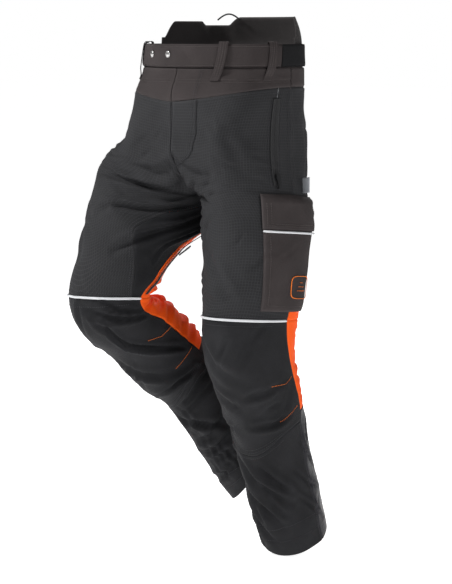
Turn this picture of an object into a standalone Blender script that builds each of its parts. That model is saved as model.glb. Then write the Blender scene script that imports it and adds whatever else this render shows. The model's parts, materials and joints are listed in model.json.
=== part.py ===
"""Forestry protective trousers, walking stance, built from separate sewn pieces.

Metres, +Z up, front faces -Y, the wearer's left is +X, waist opening centre at the origin.
A cloth piece is a thin closed shell cut from one shared form of the trousers.
The form is addressed by (k, u): k counts seam rows from waist to hem,
u runs from centre front (0) round the outer side (0.5) to centre back (1).
"""
import math

import bmesh
import bpy
import numpy as np
from mathutils import Quaternion, Vector

# ---------------------------------------------------------------- driving dimensions
# trunk stations: depth below waist, half width, half depth front, half depth back
TRUNK = np.array((
    (0.000, 0.165, 0.135, 0.135),
    (0.050, 0.166, 0.143, 0.129),
    (0.100, 0.167, 0.160, 0.112),
    (0.200, 0.174, 0.160, 0.092),
    (0.292, 0.189, 0.138, 0.102),
))
# leg stations: depth, centre x, half width, half depth front, half depth back, centre y
LEG = np.array((
    (0.292, 0.0965, 0.096, 0.131, 0.108, -0.004),
    (0.380, 0.1010, 0.096, 0.121, 0.103, 0.000),
    (0.480, 0.1030, 0.093, 0.110, 0.090, 0.000),
    (0.570, 0.1040, 0.087, 0.103, 0.078, 0.000),
    (0.680, 0.1050, 0.078, 0.090, 0.076, 0.002),
    (0.800, 0.1060, 0.070, 0.076, 0.069, 0.006),
    (0.920, 0.1060, 0.064, 0.072, 0.075, 0.008),
    (1.020, 0.1060, 0.063, 0.072, 0.080, 0.008),
))
FORK_FRONT = 0.190          # depth where the front fork curve leaves the centre seam
FORK_BACK = 0.150
CROTCH = 0.292              # depth of the crotch point
CROTCH_Y = -0.006
CENTRE_GAP = 0.0005         # half the gap at the centre seam
HIP = Vector((0.09, 0.0, -0.13))
BLEND_START = np.array((0.0, 0.0, -0.285))
BLEND_RUN = np.array((0.075, 0.0, -0.085))
KNEE_X = 0.104
# hip flexion, hip abduction, leg turn, knee flexion in degrees, knee depth,
# half length of the cloth that bends at the knee
STANCE = {
    "left": (6.0, 0.5, 0.0, 22.5, 0.590, 0.100),
    "right": (23.0, 7.0, 23.0, 70.0, 0.550, 0.075),
}
# how the cloth lies on the bent leg: share drawn in over the knee and its depth, share drawn in
# behind the thigh and its depth, back turn of the lower shin in degrees, slack let out by the hem
DRAPE = {
    "left": (0.0, 0.59, 0.0, 0.474, 0.0, 0.0),
    "right": (0.215, 0.59, 0.33, 0.474, 12.0, 0.036),
}
DRAPE_HALF = 0.14           # half length of the cloth drawn in
DROP_DEPTH = 0.78           # where the lower shin turns back
COLUMNS = 20                # columns of the shared grid round one leg
SHELL = 0.0012              # outer cloth thickness
SEAM = 0.0006               # half the gap left at each seam
PAD = (-0.0055, -0.0100)    # cut-protection pack, outer and inner offset from the form
LINING = (-0.0142, -0.0154)
BELT_HEIGHT = 0.046
BELT_OFFSET = (0.0010, 0.0038)
SNAP_RADIUS = 0.0065
SNAP_HEIGHT = 0.0022
FLAP_RISE = 0.052           # height of the kidney flap above the waistband

FLY_TOP = Vector((0.0, -0.1385, -0.052))    # the fly zip runs straight behind the yoke
FLY_END = Vector((0.0, -0.1545, -0.148))
BAG_PUFF = 0.010            # how far the cargo bag stands off the leg
BAG = (7.35, 10.7, 0.395, 0.60)
PIPING_RADIUS = 0.0023

# seam lines that run down the leg: (row, u) pairs
LINES = {
    "front_inner": ((2, 0.0), (7, 0.0), (8, 0.09), (9, 0.085), (11, 0.01)),
    "rear_inner": ((7, 1.0), (8, 0.89), (9, 0.89), (10, 0.94), (11, 0.968), (12, 0.948), (15, 0.92), (20, 0.92)),
    "rear_outer": ((2, 0.5), (9, 0.5), (10, 0.505), (11, 0.495), (12, 0.52), (13, 0.535), (15, 0.54), (16, 0.53)),
    "front_outer": ((11, 0.495), (12, 0.52), (13, 0.535), (15, 0.54), (16, 0.53), (17, 0.515), (20, 0.53)),
    "guard_front": ((15, 0.54), (16, 0.53), (17, 0.515), (20, 0.53)),
    "guard_back": ((15, 0.69), (20, 0.69)),
}

SIDES = ("left", "right")
MATERIALS = {}


# ---------------------------------------------------------------- small helpers
def smooth(t):
    t = np.clip(t, 0.0, 1.0)
    return t * t * (3.0 - 2.0 * t)


def column(stations, index, v):
    """Monotone cubic through one column of a station table."""
    x = stations[:, 0]
    y = stations[:, index]
    h = np.diff(x)
    d = np.diff(y) / h
    m = np.zeros(len(x))
    m[0] = d[0]
    m[-1] = d[-1]
    product = d[:-1] * d[1:]
    total = np.where(product > 0, d[:-1] + d[1:], 1.0)
    m[1:-1] = np.where(product > 0, 2.0 * product / total, 0.0)
    v = np.clip(v, x[0], x[-1])
    i = np.clip(np.searchsorted(x, v) - 1, 0, len(h) - 1)
    t = (v - x[i]) / h[i]
    a = (1 + 2 * t) * (1 - t) ** 2 * y[i] + t * (1 - t) ** 2 * h[i] * m[i]
    b = t * t * (3 - 2 * t) * y[i + 1] + t * t * (t - 1) * h[i] * m[i + 1]
    return a + b


def front_bump(u):
    return np.clip(np.sin(2 * math.pi * u), 0, 1) ** 2


def seam_rows(u):
    """Depth of every seam row at u."""
    one = np.ones_like(u)
    yoke = 0.083 + 0.027 * np.cos(math.pi * u) ** 2 * np.where(u > 0.5, 0.4, 1.0)
    rows = [0 * one, BELT_HEIGHT * one, yoke]
    rows += [d * one for d in (0.15, 0.20, 0.245, 0.275, CROTCH, 0.345, 0.41, 0.475, 0.531)]
    rows += [d * one for d in (0.585, 0.635, 0.68, 0.725)]
    rows.append(0.747 + 0.045 * front_bump(u))
    rows.append(0.835 + 0.01 * front_bump(u))
    rows.append(0.89 * one)
    rows.append(0.935 + 0.01 * front_bump(u))
    rows.append(0.975 + 0.024 * front_bump(u) + 0.036 * np.sin(math.pi * u) ** 4)
    return np.stack(rows, -1)


def depth(k, u):
    """Depth below the waist of row k, where k may lie between rows."""
    rows = seam_rows(u % 1.0)
    i = np.clip(np.floor(k).astype(int), 0, rows.shape[-1] - 2)
    a = np.take_along_axis(rows, i[..., None], -1)[..., 0]
    b = np.take_along_axis(rows, i[..., None] + 1, -1)[..., 0]
    return a + (b - a) * (k - i)


def standing(v, u):
    """Point of the straight-legged form on the left half."""
    u = u % 1.0
    c = np.cos(2 * math.pi * u)
    s = np.sin(2 * math.pi * u)
    wide = column(TRUNK, 1, v)
    fore = column(TRUNK, 2, v)
    back = column(TRUNK, 3, v)
    edge = np.where(u < 0.5, -fore, back)
    ring_x = wide * np.sin(math.pi * u)
    ring_y = -np.abs(edge) * np.cos(math.pi * u)
    inner = (u < 0.25) | (u > 0.75)
    tf = np.clip((v - FORK_FRONT) / (CROTCH - FORK_FRONT), 0, 1)
    tb = np.clip((v - FORK_BACK) / (CROTCH - FORK_BACK), 0, 1)
    fork_f = CROTCH_Y - (fore + CROTCH_Y) * np.sqrt(1 - tf ** 2)
    fork_b = CROTCH_Y + (back - CROTCH_Y) * np.sqrt(1 - tb ** 2)
    fork = np.where(u < 0.5, fork_f, fork_b)
    centre = LEG[0, 1]
    dee_x = centre - np.where(inner, centre, wide - centre) * c
    dee_y = np.where(inner, fork + (edge - fork) * np.abs(s), edge * np.abs(s))
    m = smooth(v / 0.2)
    leg_x = column(LEG, 1, v) - column(LEG, 2, v) * c
    leg_y = -np.where(u < 0.5, column(LEG, 3, v), column(LEG, 4, v)) * s + column(LEG, 5, v)
    above = v < CROTCH
    x = np.where(above, ring_x + (dee_x - ring_x) * m, leg_x)
    y = np.where(above, ring_y + (dee_y - ring_y) * m, leg_y)
    return np.stack([x, y, -v], -1)


def turned(p, pivot, axis, angle):
    """Rotate points about an axis, each by its own angle."""
    a = np.array(axis, float)
    q = p - np.array(pivot)
    c = np.cos(angle)[..., None]
    s = np.sin(angle)[..., None]
    return np.array(pivot) + q * c + np.cross(a, q) * s + a * (q @ a)[..., None] * (1 - c)


def hip_turn(side):
    """Axis and angle that carry a straight left-side leg into its stance."""
    flex, spread, twist = (math.radians(a) for a in STANCE[side][:3])
    turn = Quaternion((0, 0, 1), twist)
    turn = Quaternion((1, 0, 0), -flex) @ turn
    turn = Quaternion((0, 1, 0), -spread) @ turn
    axis, angle = turn.to_axis_angle()
    return axis, angle


def hump(v, centre):
    t = np.clip(np.abs(v - centre) / DRAPE_HALF, 0, 1)
    return (1 - t * t) ** 2


def draped(side, p):
    """Shape the cloth takes on the bent leg, before the leg bends."""
    front, front_depth, back, back_depth, drop, slack = DRAPE[side]
    v = -p[..., 2]
    share = np.where(p[..., 1] < 0, front * hump(v, front_depth), back * hump(v, back_depth))
    v = v + slack * smooth((v - 0.8) / 0.2)
    p = np.stack([p[..., 0], p[..., 1] * (1 - share), -v], -1)
    w = smooth((v - DROP_DEPTH + 0.05) / 0.10)
    return turned(p, (KNEE_X, 0.0, -DROP_DEPTH), (1, 0, 0), -math.radians(drop) * w)


def posed(side, p):
    flex, depth_of_knee, half = STANCE[side][3:]
    knee = (KNEE_X, 0.0, -depth_of_knee)
    w = smooth((-p[..., 2] + knee[2] + half) / (2 * half))
    p0 = p
    p = turned(draped(side, p), knee, (1, 0, 0), math.radians(flex) * w)
    w = smooth(((p0 - BLEND_START) @ BLEND_RUN) / (BLEND_RUN @ BLEND_RUN))
    axis, angle = hip_turn(side)
    p = turned(p, HIP, axis, angle * w)
    p = p + np.array((CENTRE_GAP, 0, 0))
    return p * np.array((1.0 if side == "left" else -1.0, 1, 1))


def form(side, k, u, low=-9.0, high=9.0):
    """Point and outward normal of the posed form at (k, u)."""
    v = depth(k, u)
    e = 0.004
    u0 = np.maximum(u - e, low)
    u1 = np.minimum(u + e, high)
    p = posed(side, standing(v, u))
    du = posed(side, standing(v, u1 - 1e-9)) - posed(side, standing(v, u0 + 1e-9))
    dv = posed(side, standing(v + 0.002, u)) - posed(side, standing(v - 0.002, u))
    n = np.cross(dv, du)
    n /= np.maximum(np.linalg.norm(n, axis=-1, keepdims=True), 1e-12)
    if side == "right":
        n = -n
    return p, n


def leg_point(side, point):
    """Carry a point of the straight leg rigidly with the thigh."""
    axis, angle = hip_turn(side)
    p = Quaternion(axis, angle) @ (Vector(point) - HIP) + HIP
    p.x = (p.x + CENTRE_GAP) * (1 if side == "left" else -1)
    return p


# ---------------------------------------------------------------- objects and materials
def material(name, colour, roughness, metallic=0.0):
    if name not in MATERIALS:
        mat = bpy.data.materials.new(name)
        mat.use_nodes = True
        shader = mat.node_tree.nodes["Principled BSDF"]
        shader.inputs["Base Color"].default_value = (*colour, 1)
        shader.inputs["Roughness"].default_value = roughness
        shader.inputs["Metallic"].default_value = metallic
        MATERIALS[name] = mat
    return MATERIALS[name]


LOOKS = {
    "ripstop_charcoal": ((0.030, 0.030, 0.032), 0.85, 0.0),
    "stretch_black": ((0.014, 0.014, 0.016), 0.80, 0.0),
    "canvas_brown": ((0.055, 0.045, 0.043), 0.85, 0.0),
    "stretch_orange": ((0.90, 0.13, 0.01), 0.75, 0.0),
    "reflective_piping": ((0.75, 0.76, 0.78), 0.35, 0.0),
    "webbing_black": ((0.010, 0.010, 0.011), 0.75, 0.0),
    "guard_coated": ((0.020, 0.018, 0.024), 0.30, 0.0),
    "snap_silver": ((0.75, 0.75, 0.74), 0.25, 1.0),
    "zip_black": ((0.012, 0.012, 0.012), 0.45, 0.0),
    "label_grey": ((0.25, 0.26, 0.27), 0.60, 0.0),
    "patch_orange": ((0.80, 0.30, 0.04), 0.60, 0.0),
    "protection_fibre": ((0.62, 0.60, 0.52), 0.90, 0.0),
    "lining_grey": ((0.20, 0.21, 0.22), 0.85, 0.0),
}


def make(name, verts, faces, look, origin=(0, 0, 0)):
    """One object from vertices and faces, origin on its joint axis."""
    o = Vector(origin)
    mesh = bpy.data.meshes.new(name)
    mesh.from_pydata([Vector(v) - o for v in verts], [], faces)
    bm = bmesh.new()
    bm.from_mesh(mesh)
    bmesh.ops.recalc_face_normals(bm, faces=bm.faces)
    if bm.calc_volume(signed=True) < 0:
        bmesh.ops.reverse_faces(bm, faces=bm.faces)
    bm.to_mesh(mesh)
    bm.free()
    mesh.update()
    obj = bpy.data.objects.new(name, mesh)
    obj.location = o
    mesh.materials.append(material(look, *LOOKS[look]))
    bpy.context.scene.collection.objects.link(obj)
    return obj


def shell_faces(rows, cols, ring):
    """Quads of a shell whose outer grid is followed by its inner grid."""
    faces = []
    base = rows * cols
    span = cols if ring else cols - 1
    for i in range(rows - 1):
        for j in range(span):
            a, b = i * cols + j, i * cols + (j + 1) % cols
            c, d = b + cols, a + cols
            faces.append((a, b, c, d))
            faces.append((a + base, d + base, c + base, b + base))
    for j in range(span):
        for i in (0, rows - 1):
            a, b = i * cols + j, i * cols + (j + 1) % cols
            faces.append((a, b, b + base, a + base))
    if not ring:
        for i in range(rows - 1):
            for j in (0, cols - 1):
                a, b = i * cols + j, (i + 1) * cols + j
                faces.append((a, b, b + base, a + base))
    return faces


def steps(a, b, unit):
    """Values from a to b that fall on the shared grid, plus both ends."""
    first = math.floor(a / unit + 1e-6) + 1
    last = math.ceil(b / unit - 1e-6) - 1
    return [a] + [i * unit for i in range(first, last + 1)] + [b]


def edge(line, k):
    """A panel edge: a constant, a named seam line, or that line one turn back."""
    if not isinstance(line, str):
        return np.full_like(k, float(line))
    turn = -1.0 if line.startswith("-") else 0.0
    table = np.array(LINES[line.lstrip("-")])
    return np.interp(k, table[:, 0], table[:, 1]) + turn


def cloth(name, side, k0, k1, u0, u1, look, offset=(0.0, -SHELL), origin=(0, 0, 0), lift=None,
          bounds=(-9.0, 9.0), cells=10, part=None, extra=()):
    """A panel of the form between rows k0..k1 and two seam lines.

    part keeps only some of the columns, so that a layer below shares the grid of its panel.
    """
    ks = np.array(sorted([*steps(k0, k1, 1.0), *extra]), float)
    lo = edge(u0, ks) + SEAM / 0.6
    hi = edge(u1, ks) - SEAM / 0.6
    first, last = part or (0, cells)
    f = np.arange(first, last + 1) / cells
    u = lo[:, None] + (hi - lo)[:, None] * f[None, :]
    k = np.repeat(ks[:, None], len(f), axis=1)
    k[0] += SEAM / row_height(k0)
    k[-1] -= SEAM / row_height(k1 - 1e-6)
    p, n = form(side, k, u, *bounds)
    swell = np.zeros_like(k) if lift is None else lift(k, u)
    outer = p + n * (offset[0] + swell)[..., None]
    inner = p + n * (offset[1] + swell)[..., None]
    verts = np.concatenate([outer.reshape(-1, 3), inner.reshape(-1, 3)])
    return make(name, verts.tolist(), shell_faces(*k.shape, False), look, origin)


def row_height(k):
    rows = seam_rows(np.array(0.25))
    i = int(min(max(math.floor(k), 0), len(rows) - 2))
    return float(rows[i + 1] - rows[i])


def tube(name, side, k0, k1, look, offset, origin):
    """A closed ring of cloth round one leg."""
    ks = steps(k0, k1, 1.0)
    us = np.arange(COLUMNS) / COLUMNS
    k, u = np.meshgrid(np.array(ks), us, indexing="ij")
    p, n = form(side, k, u)
    verts = np.concatenate([(p + n * o).reshape(-1, 3) for o in offset])
    return make(name, verts.tolist(), shell_faces(*k.shape, True), look, origin)


def waist(name, v0, v1, a0, a1, look, offset, lean=None, rise=None, parts=40):
    """A band round the trunk. Angles run from centre front (0) over the left side (0.5) to 2."""
    ring = a1 - a0 >= 2.0
    count = parts if ring else max(3, int(round((a1 - a0) * parts / 2)) + 1)
    a = a0 + (a1 - a0) * np.arange(count) / (count if ring else count - 1)
    vs = np.linspace(v0, v1, 3 if v1 - v0 < 0.06 else 4)
    v, a = np.meshgrid(vs, a, indexing="ij")
    if rise is not None:
        v = rise(v, a)
    b = a % 2.0
    u = np.where(b > 1.0, 2.0 - b, b)
    mirror = np.where(b > 1.0, -1.0, 1.0)
    p, n = trunk_form(np.maximum(v, 0.0), u)
    p[..., 2] = -v
    p[..., 0] *= mirror
    n[..., 0] *= mirror
    push = np.zeros_like(v) if lean is None else lean(v, a)
    verts = np.concatenate([(p + n * (o + push)[..., None]).reshape(-1, 3) for o in offset])
    return make(name, verts.tolist(), shell_faces(*v.shape, ring), look)


def trunk_form(v, u):
    """Point and outward normal of the trunk, smooth across the centre seams."""
    e = 0.004
    p = standing(v, u)
    front = standing(v, np.clip(u - e, 0, 0.9999))
    back = standing(v, np.clip(u + e, 0, 0.9999))
    run = back - front
    run = np.where((u < e)[..., None], np.array((1.0, 0, 0)), run)
    run = np.where((u > 1 - e)[..., None], np.array((-1.0, 0, 0)), run)
    p = np.where((u > 0.9999)[..., None], standing(v, np.full_like(u, 0.99999)), p)
    n = np.stack([-run[..., 1], run[..., 0], 0 * u], -1) * -1.0
    n /= np.linalg.norm(n, axis=-1, keepdims=True)
    return p, n


def ribbon(name, points, widths, normals, half_width, thick, look, origin=(0, 0, 0)):
    """A strap along points: widths and normals give its cross direction and its face."""
    verts = []
    for p, w, n in zip(points, widths, normals):
        p, w, n = Vector(p), Vector(w).normalized(), Vector(n).normalized()
        for i, j in ((-1, -1), (1, -1), (1, 1), (-1, 1)):
            verts.append(p + w * half_width * i + n * thick * 0.5 * j)
    faces = [(3, 2, 1, 0)]
    for i in range(len(points) - 1):
        for j in range(4):
            a, b = 4 * i + j, 4 * i + (j + 1) % 4
            faces += [(a, b, b + 4), (a, b + 4, a + 4)]
    last = 4 * (len(points) - 1)
    faces.append((last, last + 1, last + 2, last + 3))
    return make(name, verts, faces, look, origin)


def cord_along(name, points, radius, look, origin=(0, 0, 0), sides=6):
    """A round bead along points."""
    verts, faces = [], []
    up = None
    for i, p in enumerate(points):
        d = (points[min(i + 1, len(points) - 1)] - points[max(i - 1, 0)]).normalized()
        if up is None:
            up = d.orthogonal()
        up = (up - d * up.dot(d)).normalized()
        w = d.cross(up)
        for j in range(sides):
            t = 2 * math.pi * j / sides
            verts.append(p + (up * math.cos(t) + w * math.sin(t)) * radius)
    for i in range(len(points) - 1):
        for j in range(sides):
            a, b = i * sides + j, i * sides + (j + 1) % sides
            faces.append((a, b, b + sides, a + sides))
    faces.append(tuple(reversed(range(sides))))
    faces.append(tuple(range((len(points) - 1) * sides, len(points) * sides)))
    return make(name, verts, faces, look, origin)


def disc(name, centre, normal, radius, height, look, sides=20):
    """A cap with a flat face and a chamfered rim, sitting on a surface."""
    n = Vector(normal).normalized()
    a = n.orthogonal().normalized()
    b = n.cross(a)
    verts, faces = [], []
    for r, h in ((radius, 0.0), (radius, height * 0.6), (radius * 0.8, height)):
        for j in range(sides):
            t = 2 * math.pi * j / sides
            verts.append(Vector(centre) + (a * math.cos(t) + b * math.sin(t)) * r + n * h)
    for i in range(2):
        for j in range(sides):
            p, q = i * sides + j, i * sides + (j + 1) % sides
            faces.append((p, q, q + sides, p + sides))
    faces.append(tuple(reversed(range(sides))))
    faces.append(tuple(range(2 * sides, 3 * sides)))
    return make(name, verts, faces, look)


def at(side, k, u, offset=0.0):
    p, n = form(side, np.array([float(k)]), np.array([float(u)]))
    return Vector(p[0] + n[0] * offset), Vector(n[0])


def at_waist(a, v, offset=0.0):
    b = a % 2.0
    mirror = -1.0 if b > 1.0 else 1.0
    u = 2.0 - b if b > 1.0 else b
    p, n = trunk_form(np.array([max(v, 0.0)]), np.array([u]))
    p, n = Vector(p[0]), Vector(n[0])
    p.x *= mirror
    n.x *= mirror
    p.z = -v
    return p + n * offset, n


# ---------------------------------------------------------------- plates
def plate(name, outline, centre, across, up, thick, look, origin=(0, 0, 0)):
    """A flat plate: outline points are (across, up) pairs, thickness rises from the centre plane."""
    a = Vector(across).normalized()
    b = Vector(up)
    b = (b - a * b.dot(a)).normalized()
    n = a.cross(b)
    c = Vector(centre)
    count = len(outline)
    verts = [c + a * x + b * y + n * h for h in (0.0, thick) for x, y in outline]
    faces = [tuple(reversed(range(count))), tuple(range(count, 2 * count))]
    for i in range(count):
        j = (i + 1) % count
        faces.append((i, j, j + count, i + count))
    return make(name, verts, faces, look, origin)


# ---------------------------------------------------------------- waist
def belt_loop(name, a, look, half_width=0.0065, foot=0.062, reach=0.0068):
    """A stitched loop: over the waistband top, clear of the belt, sewn to the yoke."""
    path = ((0.012, -0.0038), (-0.0020, -0.0036), (-0.0042, 0.0), (-0.0030, reach * 0.6),
            (0.0020, reach), (0.024, reach + 0.001), (foot - 0.014, reach), (foot - 0.004, 0.003),
            (foot, 0.0016), (foot + 0.008, 0.0016))
    points, normals, widths = [], [], []
    for v, off in path:
        p, n = at_waist(a, v, off)
        points.append(p)
        widths.append(n.cross(Vector((0, 0, 1))))
    for i in range(len(points)):
        d = points[min(i + 1, len(points) - 1)] - points[max(i - 1, 0)]
        normals.append(widths[i].cross(d))
    return ribbon(name, points, widths, normals, half_width, 0.0012, look)


def flap_rise(v, a):
    """Top edge of the kidney flap: a low wing on the right, a dip, then the tall back."""
    t = np.clip((0.030 - v) / 0.060, 0, 1)
    wing = 0.044 * smooth((1.515 - a) / 0.075) * smooth((a - 1.235) / 0.06)
    tall = FLAP_RISE * smooth((1.265 - a) / 0.16) * smooth((a - 0.545) / 0.085)
    between = 0.036 * smooth((1.505 - a) / 0.07) * smooth((a - 0.560) / 0.08)
    height = np.maximum(np.maximum(wing, tall), np.maximum(between, 0.012))
    return 0.030 - t * (0.030 + height)


def flap_lean(v, a):
    return -0.014 * np.clip(-v / 0.05, 0, 1) ** 1.5


def build_waist():
    waist("waistband", 0.0005, 0.0445, 0, 2, "canvas_brown", (-0.0002, -0.0022))
    waist("belt_strap", 0.0015, 0.0440, -0.452, 0.440, "canvas_brown", BELT_OFFSET)
    waist("elastic_left", 0.001, 0.0440, 0.446, 0.700, "webbing_black", (0.0004, 0.0030))
    waist("elastic_right", 0.001, 0.0440, 1.300, 1.542, "webbing_black", (0.0004, 0.0030))
    waist("kidney_flap", -0.030, 0.030, 0.545, 1.515, "canvas_brown", (-0.0030, -0.0048),
          lean=flap_lean, rise=flap_rise)
    for i, a in enumerate((-0.150, -0.045)):
        p, n = at_waist(a, 0.020, BELT_OFFSET[1] + 0.0014)
        disc("belt_snap_" + str(i + 1), p, n, SNAP_RADIUS, SNAP_HEIGHT, "snap_silver")
    belt_loop("loop_front_right", -0.290, "canvas_brown")
    belt_loop("loop_front_left", 0.190, "canvas_brown")
    belt_loop("loop_side_left", 0.395, "canvas_brown")
    belt_loop("loop_side_right", -0.400, "webbing_black", 0.006, 0.054, 0.0125)
    loop = []
    for i in range(9):
        t = i / 8
        p, n = at_waist(1.215 - 0.115 * t, -0.046 - 0.012 * math.sin(math.pi * t), -0.0300)
        loop.append(p)
    cord_along("hanger_loop", loop, 0.0011, "webbing_black")


def yoke_drop(v, a):
    """Lower edge of the rear yoke follows its seam row."""
    b = a % 2.0
    u = np.where(b > 1.0, 2.0 - b, b)
    low = seam_rows(u)[..., 2] - SEAM
    return 0.0470 + (v - 0.0470) / 0.035 * (low - 0.0470)


def build_trunk():
    for side in SIDES:
        cloth("yoke_front_" + side, side, 1, 2, 0.0, 0.5, "canvas_brown", bounds=(0.0, 0.5),
              extra=(1.25, 1.5, 1.75))
        cloth("seat_" + side, side, 2, 7, 0.5, 1.0, "ripstop_charcoal", bounds=(0.5, 1.0))
    waist("yoke_rear", 0.0470, 0.0820, 0.502, 1.498, "canvas_brown", (0.0, -SHELL), rise=yoke_drop)
    waist("trunk_lining", 0.0470, 0.1420, 0, 2, "lining_grey", LINING)
    cloth("fly_placket", "left", 2, 5, 0.03, 0.15, "ripstop_charcoal", (0.0024, 0.0014),
          bounds=(0.0, 0.5), cells=3)
    run = (FLY_END - FLY_TOP).normalized()
    face = Vector((1, 0, 0)).cross(-run)
    stops = [FLY_TOP.lerp(FLY_END, i / 4) for i in range(5)]
    ribbon("fly_zip", stops, [(1, 0, 0)] * 5, [face] * 5, 0.012, 0.0010, "zip_black")
    spot = FLY_TOP + run * 0.007 + face * 0.0010
    plate("fly_slider", box_outline(0.0035, 0.005), spot, (1, 0, 0), -run, 0.0016, "snap_silver", spot)
    p, n = at("left", 5.87, 0.545, 0.0008)
    across = n.cross(Vector((0, 0, 1)))
    outline = ((0, -0.015), (0.016, -0.015), (0.016, 0.015), (0, 0.015))
    plate("side_label", outline, p, n, (0, 0, 1), 0.0012, "label_grey")


def box_outline(half, tall):
    return ((-half, -tall), (half, -tall), (half, tall), (-half, tall))


def pull_outline():
    """Zip slider body with its pull hanging below, seen face on."""
    return ((-0.0045, 0.006), (-0.0045, -0.006), (-0.0025, -0.008), (-0.0025, -0.024),
            (0.0025, -0.024), (0.0025, -0.008), (0.0045, -0.006), (0.0045, 0.006))


# ---------------------------------------------------------------- zips on the legs
def add_zip(name, side, line, shift, k0, k1, k_slider, origin, lift=0.0018):
    """A tape along a seam line, and a slider that starts at row k_slider."""
    ks = steps(k0, k1, 0.5 if name == "vent" else 1.0)
    stops = [at(side, k, float(edge(line, np.array(float(k)))) + shift, lift) for k in ks]
    points = [p for p, n in stops]
    normals = [n for p, n in stops]
    widths = []
    for i in range(len(points)):
        d = points[min(i + 1, len(ks) - 1)] - points[max(i - 1, 0)]
        widths.append(normals[i].cross(d))
    ribbon(name + "_zip_" + side, points, widths, normals, 0.0055, 0.0010, "zip_black", origin)
    spots = [at(side, k_slider + d, float(edge(line, np.array(k_slider + d))) + shift, lift + 0.0048)
             for d in (-0.2, 0.0, 0.2)]
    p, n = spots[1]
    up = spots[0][0] - spots[2][0]
    plate(name + "_slider_" + side, pull_outline(), p, up.cross(n), up, 0.0026, "zip_black", p)


# ---------------------------------------------------------------- legs
def build_thigh(side):
    hip = leg_point(side, HIP)
    tag = "_" + side
    cloth("front_thigh" + tag, side, 2, 11, "front_inner", "rear_outer", "ripstop_charcoal",
          origin=hip, bounds=(0.0, 9.0))
    cloth("inner_thigh" + tag, side, 7, 11, "-rear_inner", "front_inner", "stretch_black", origin=hip, cells=4)
    cloth("rear_thigh" + tag, side, 7, 11, "rear_outer", "rear_inner", "stretch_orange", origin=hip)
    cloth("thigh_pad" + tag, side, 3, 10, "front_inner", "rear_outer", "protection_fibre", PAD, hip,
          bounds=(0.0, 9.0), part=(4, 9))
    tube("thigh_lining" + tag, side, 8, 10.8, "lining_grey", LINING, hip)
    bead("knee_piping" + tag, side, 11.0, 0.012, 0.448, 0.0029, PIPING_RADIUS, hip)
    add_zip("pocket", side, "rear_outer", -0.055, 2.3, 6, 5.45, hip)
    add_zip("vent", side, "rear_inner", -0.014, 8, 10.8, 8.75, hip, 0.0042)


def bead(name, side, k, u0, u1, offset, radius, origin, lift=None):
    count = max(3, int((u1 - u0) * 40) + 1)
    points = []
    for i in range(count):
        u = u0 + (u1 - u0) * i / (count - 1)
        rise = 0.0 if lift is None else float(lift(np.array(k), np.array(u)))
        points.append(at(side, k, u, offset + rise)[0])
    return cord_along(name, points, radius, "reflective_piping", origin)


def bag_lift(k, u):
    """Stand-off of the cargo bag: open at the top, falling to its sewn sides and bottom."""
    t = np.clip((k - BAG[0]) / (BAG[1] - BAG[0]), 0, 1)
    s = np.clip((u - BAG[2]) / (BAG[3] - BAG[2]), 0, 1)
    return BAG_PUFF * np.clip(6 * (1 - t), 0, 1) ** 0.6 * np.clip(8 * s * (1 - s), 0, 1) ** 0.6


def flap_lift(k, u):
    """Stand-off of the cargo flap: rises from its sewn top edge, then lies over the bag."""
    return bag_lift(np.full_like(k, BAG[0]), u) * smooth((k - 7.0) / 0.30)


def build_cargo():
    side = "left"
    hip = leg_point(side, HIP)
    cloth("cargo_bag", side, *BAG, "canvas_brown", (0.0034, 0.0020), hip, bag_lift, cells=5)
    hinge, n = at(side, 7.0, 0.475, 0.002)
    cloth("cargo_flap", side, 7.02, 8.20, 0.390, 0.605, "canvas_brown", (0.0078, 0.0066), hinge,
          flap_lift, cells=5, extra=(7.30,))
    bead("cargo_flap_piping", side, 8.27, 0.393, 0.602, 0.0092, 0.0020, hinge, flap_lift)
    cloth("cargo_patch", side, 9.5, 10.25, 0.475, 0.575, "patch_orange", (0.0066, 0.0056), hip, bag_lift,
          cells=2)


def build_shin(side):
    knee = leg_point(side, (KNEE_X, 0.0, -STANCE[side][4]))
    tag = "_" + side
    cloth("knee_panel" + tag, side, 11, 16, "-rear_inner", "front_outer", "stretch_black", origin=knee, cells=12)
    cloth("rear_knee" + tag, side, 11, 15, "rear_outer", "rear_inner", "stretch_orange", origin=knee)
    cloth("shin_panel" + tag, side, 16, 20, "-rear_inner", "front_outer", "stretch_black", origin=knee,
          cells=12)
    cloth("calf_guard" + tag, side, 15, 20, "guard_front", "guard_back", "guard_coated", origin=knee,
          cells=4)
    cloth("rear_calf" + tag, side, 15, 20, "guard_back", "rear_inner", "stretch_black", origin=knee,
          cells=6)
    cloth("shin_pad" + tag, side, 11, 19, "-rear_inner", "front_outer", "protection_fibre", PAD, knee,
          cells=12, part=(3, 11))
    tube("shin_lining" + tag, side, 13, 19.7, "lining_grey", LINING, knee)


def build():
    for old in list(bpy.data.objects):
        bpy.data.objects.remove(old, do_unlink=True)
    build_waist()
    build_trunk()
    for side in SIDES:
        build_thigh(side)
        build_shin(side)
    build_cargo()


build()
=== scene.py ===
"""Looks of the forestry protective trousers.

Metres, +Z up, front faces -Y, the wearer's left is +X. Cloth is cut from one form, addressed by
seam row k (waist to hem) and u (centre front 0, outer side 0.5, centre back 1), with its creases
carried along the normal. Every layer uses the same creases, so layers never cross.
"""

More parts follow.
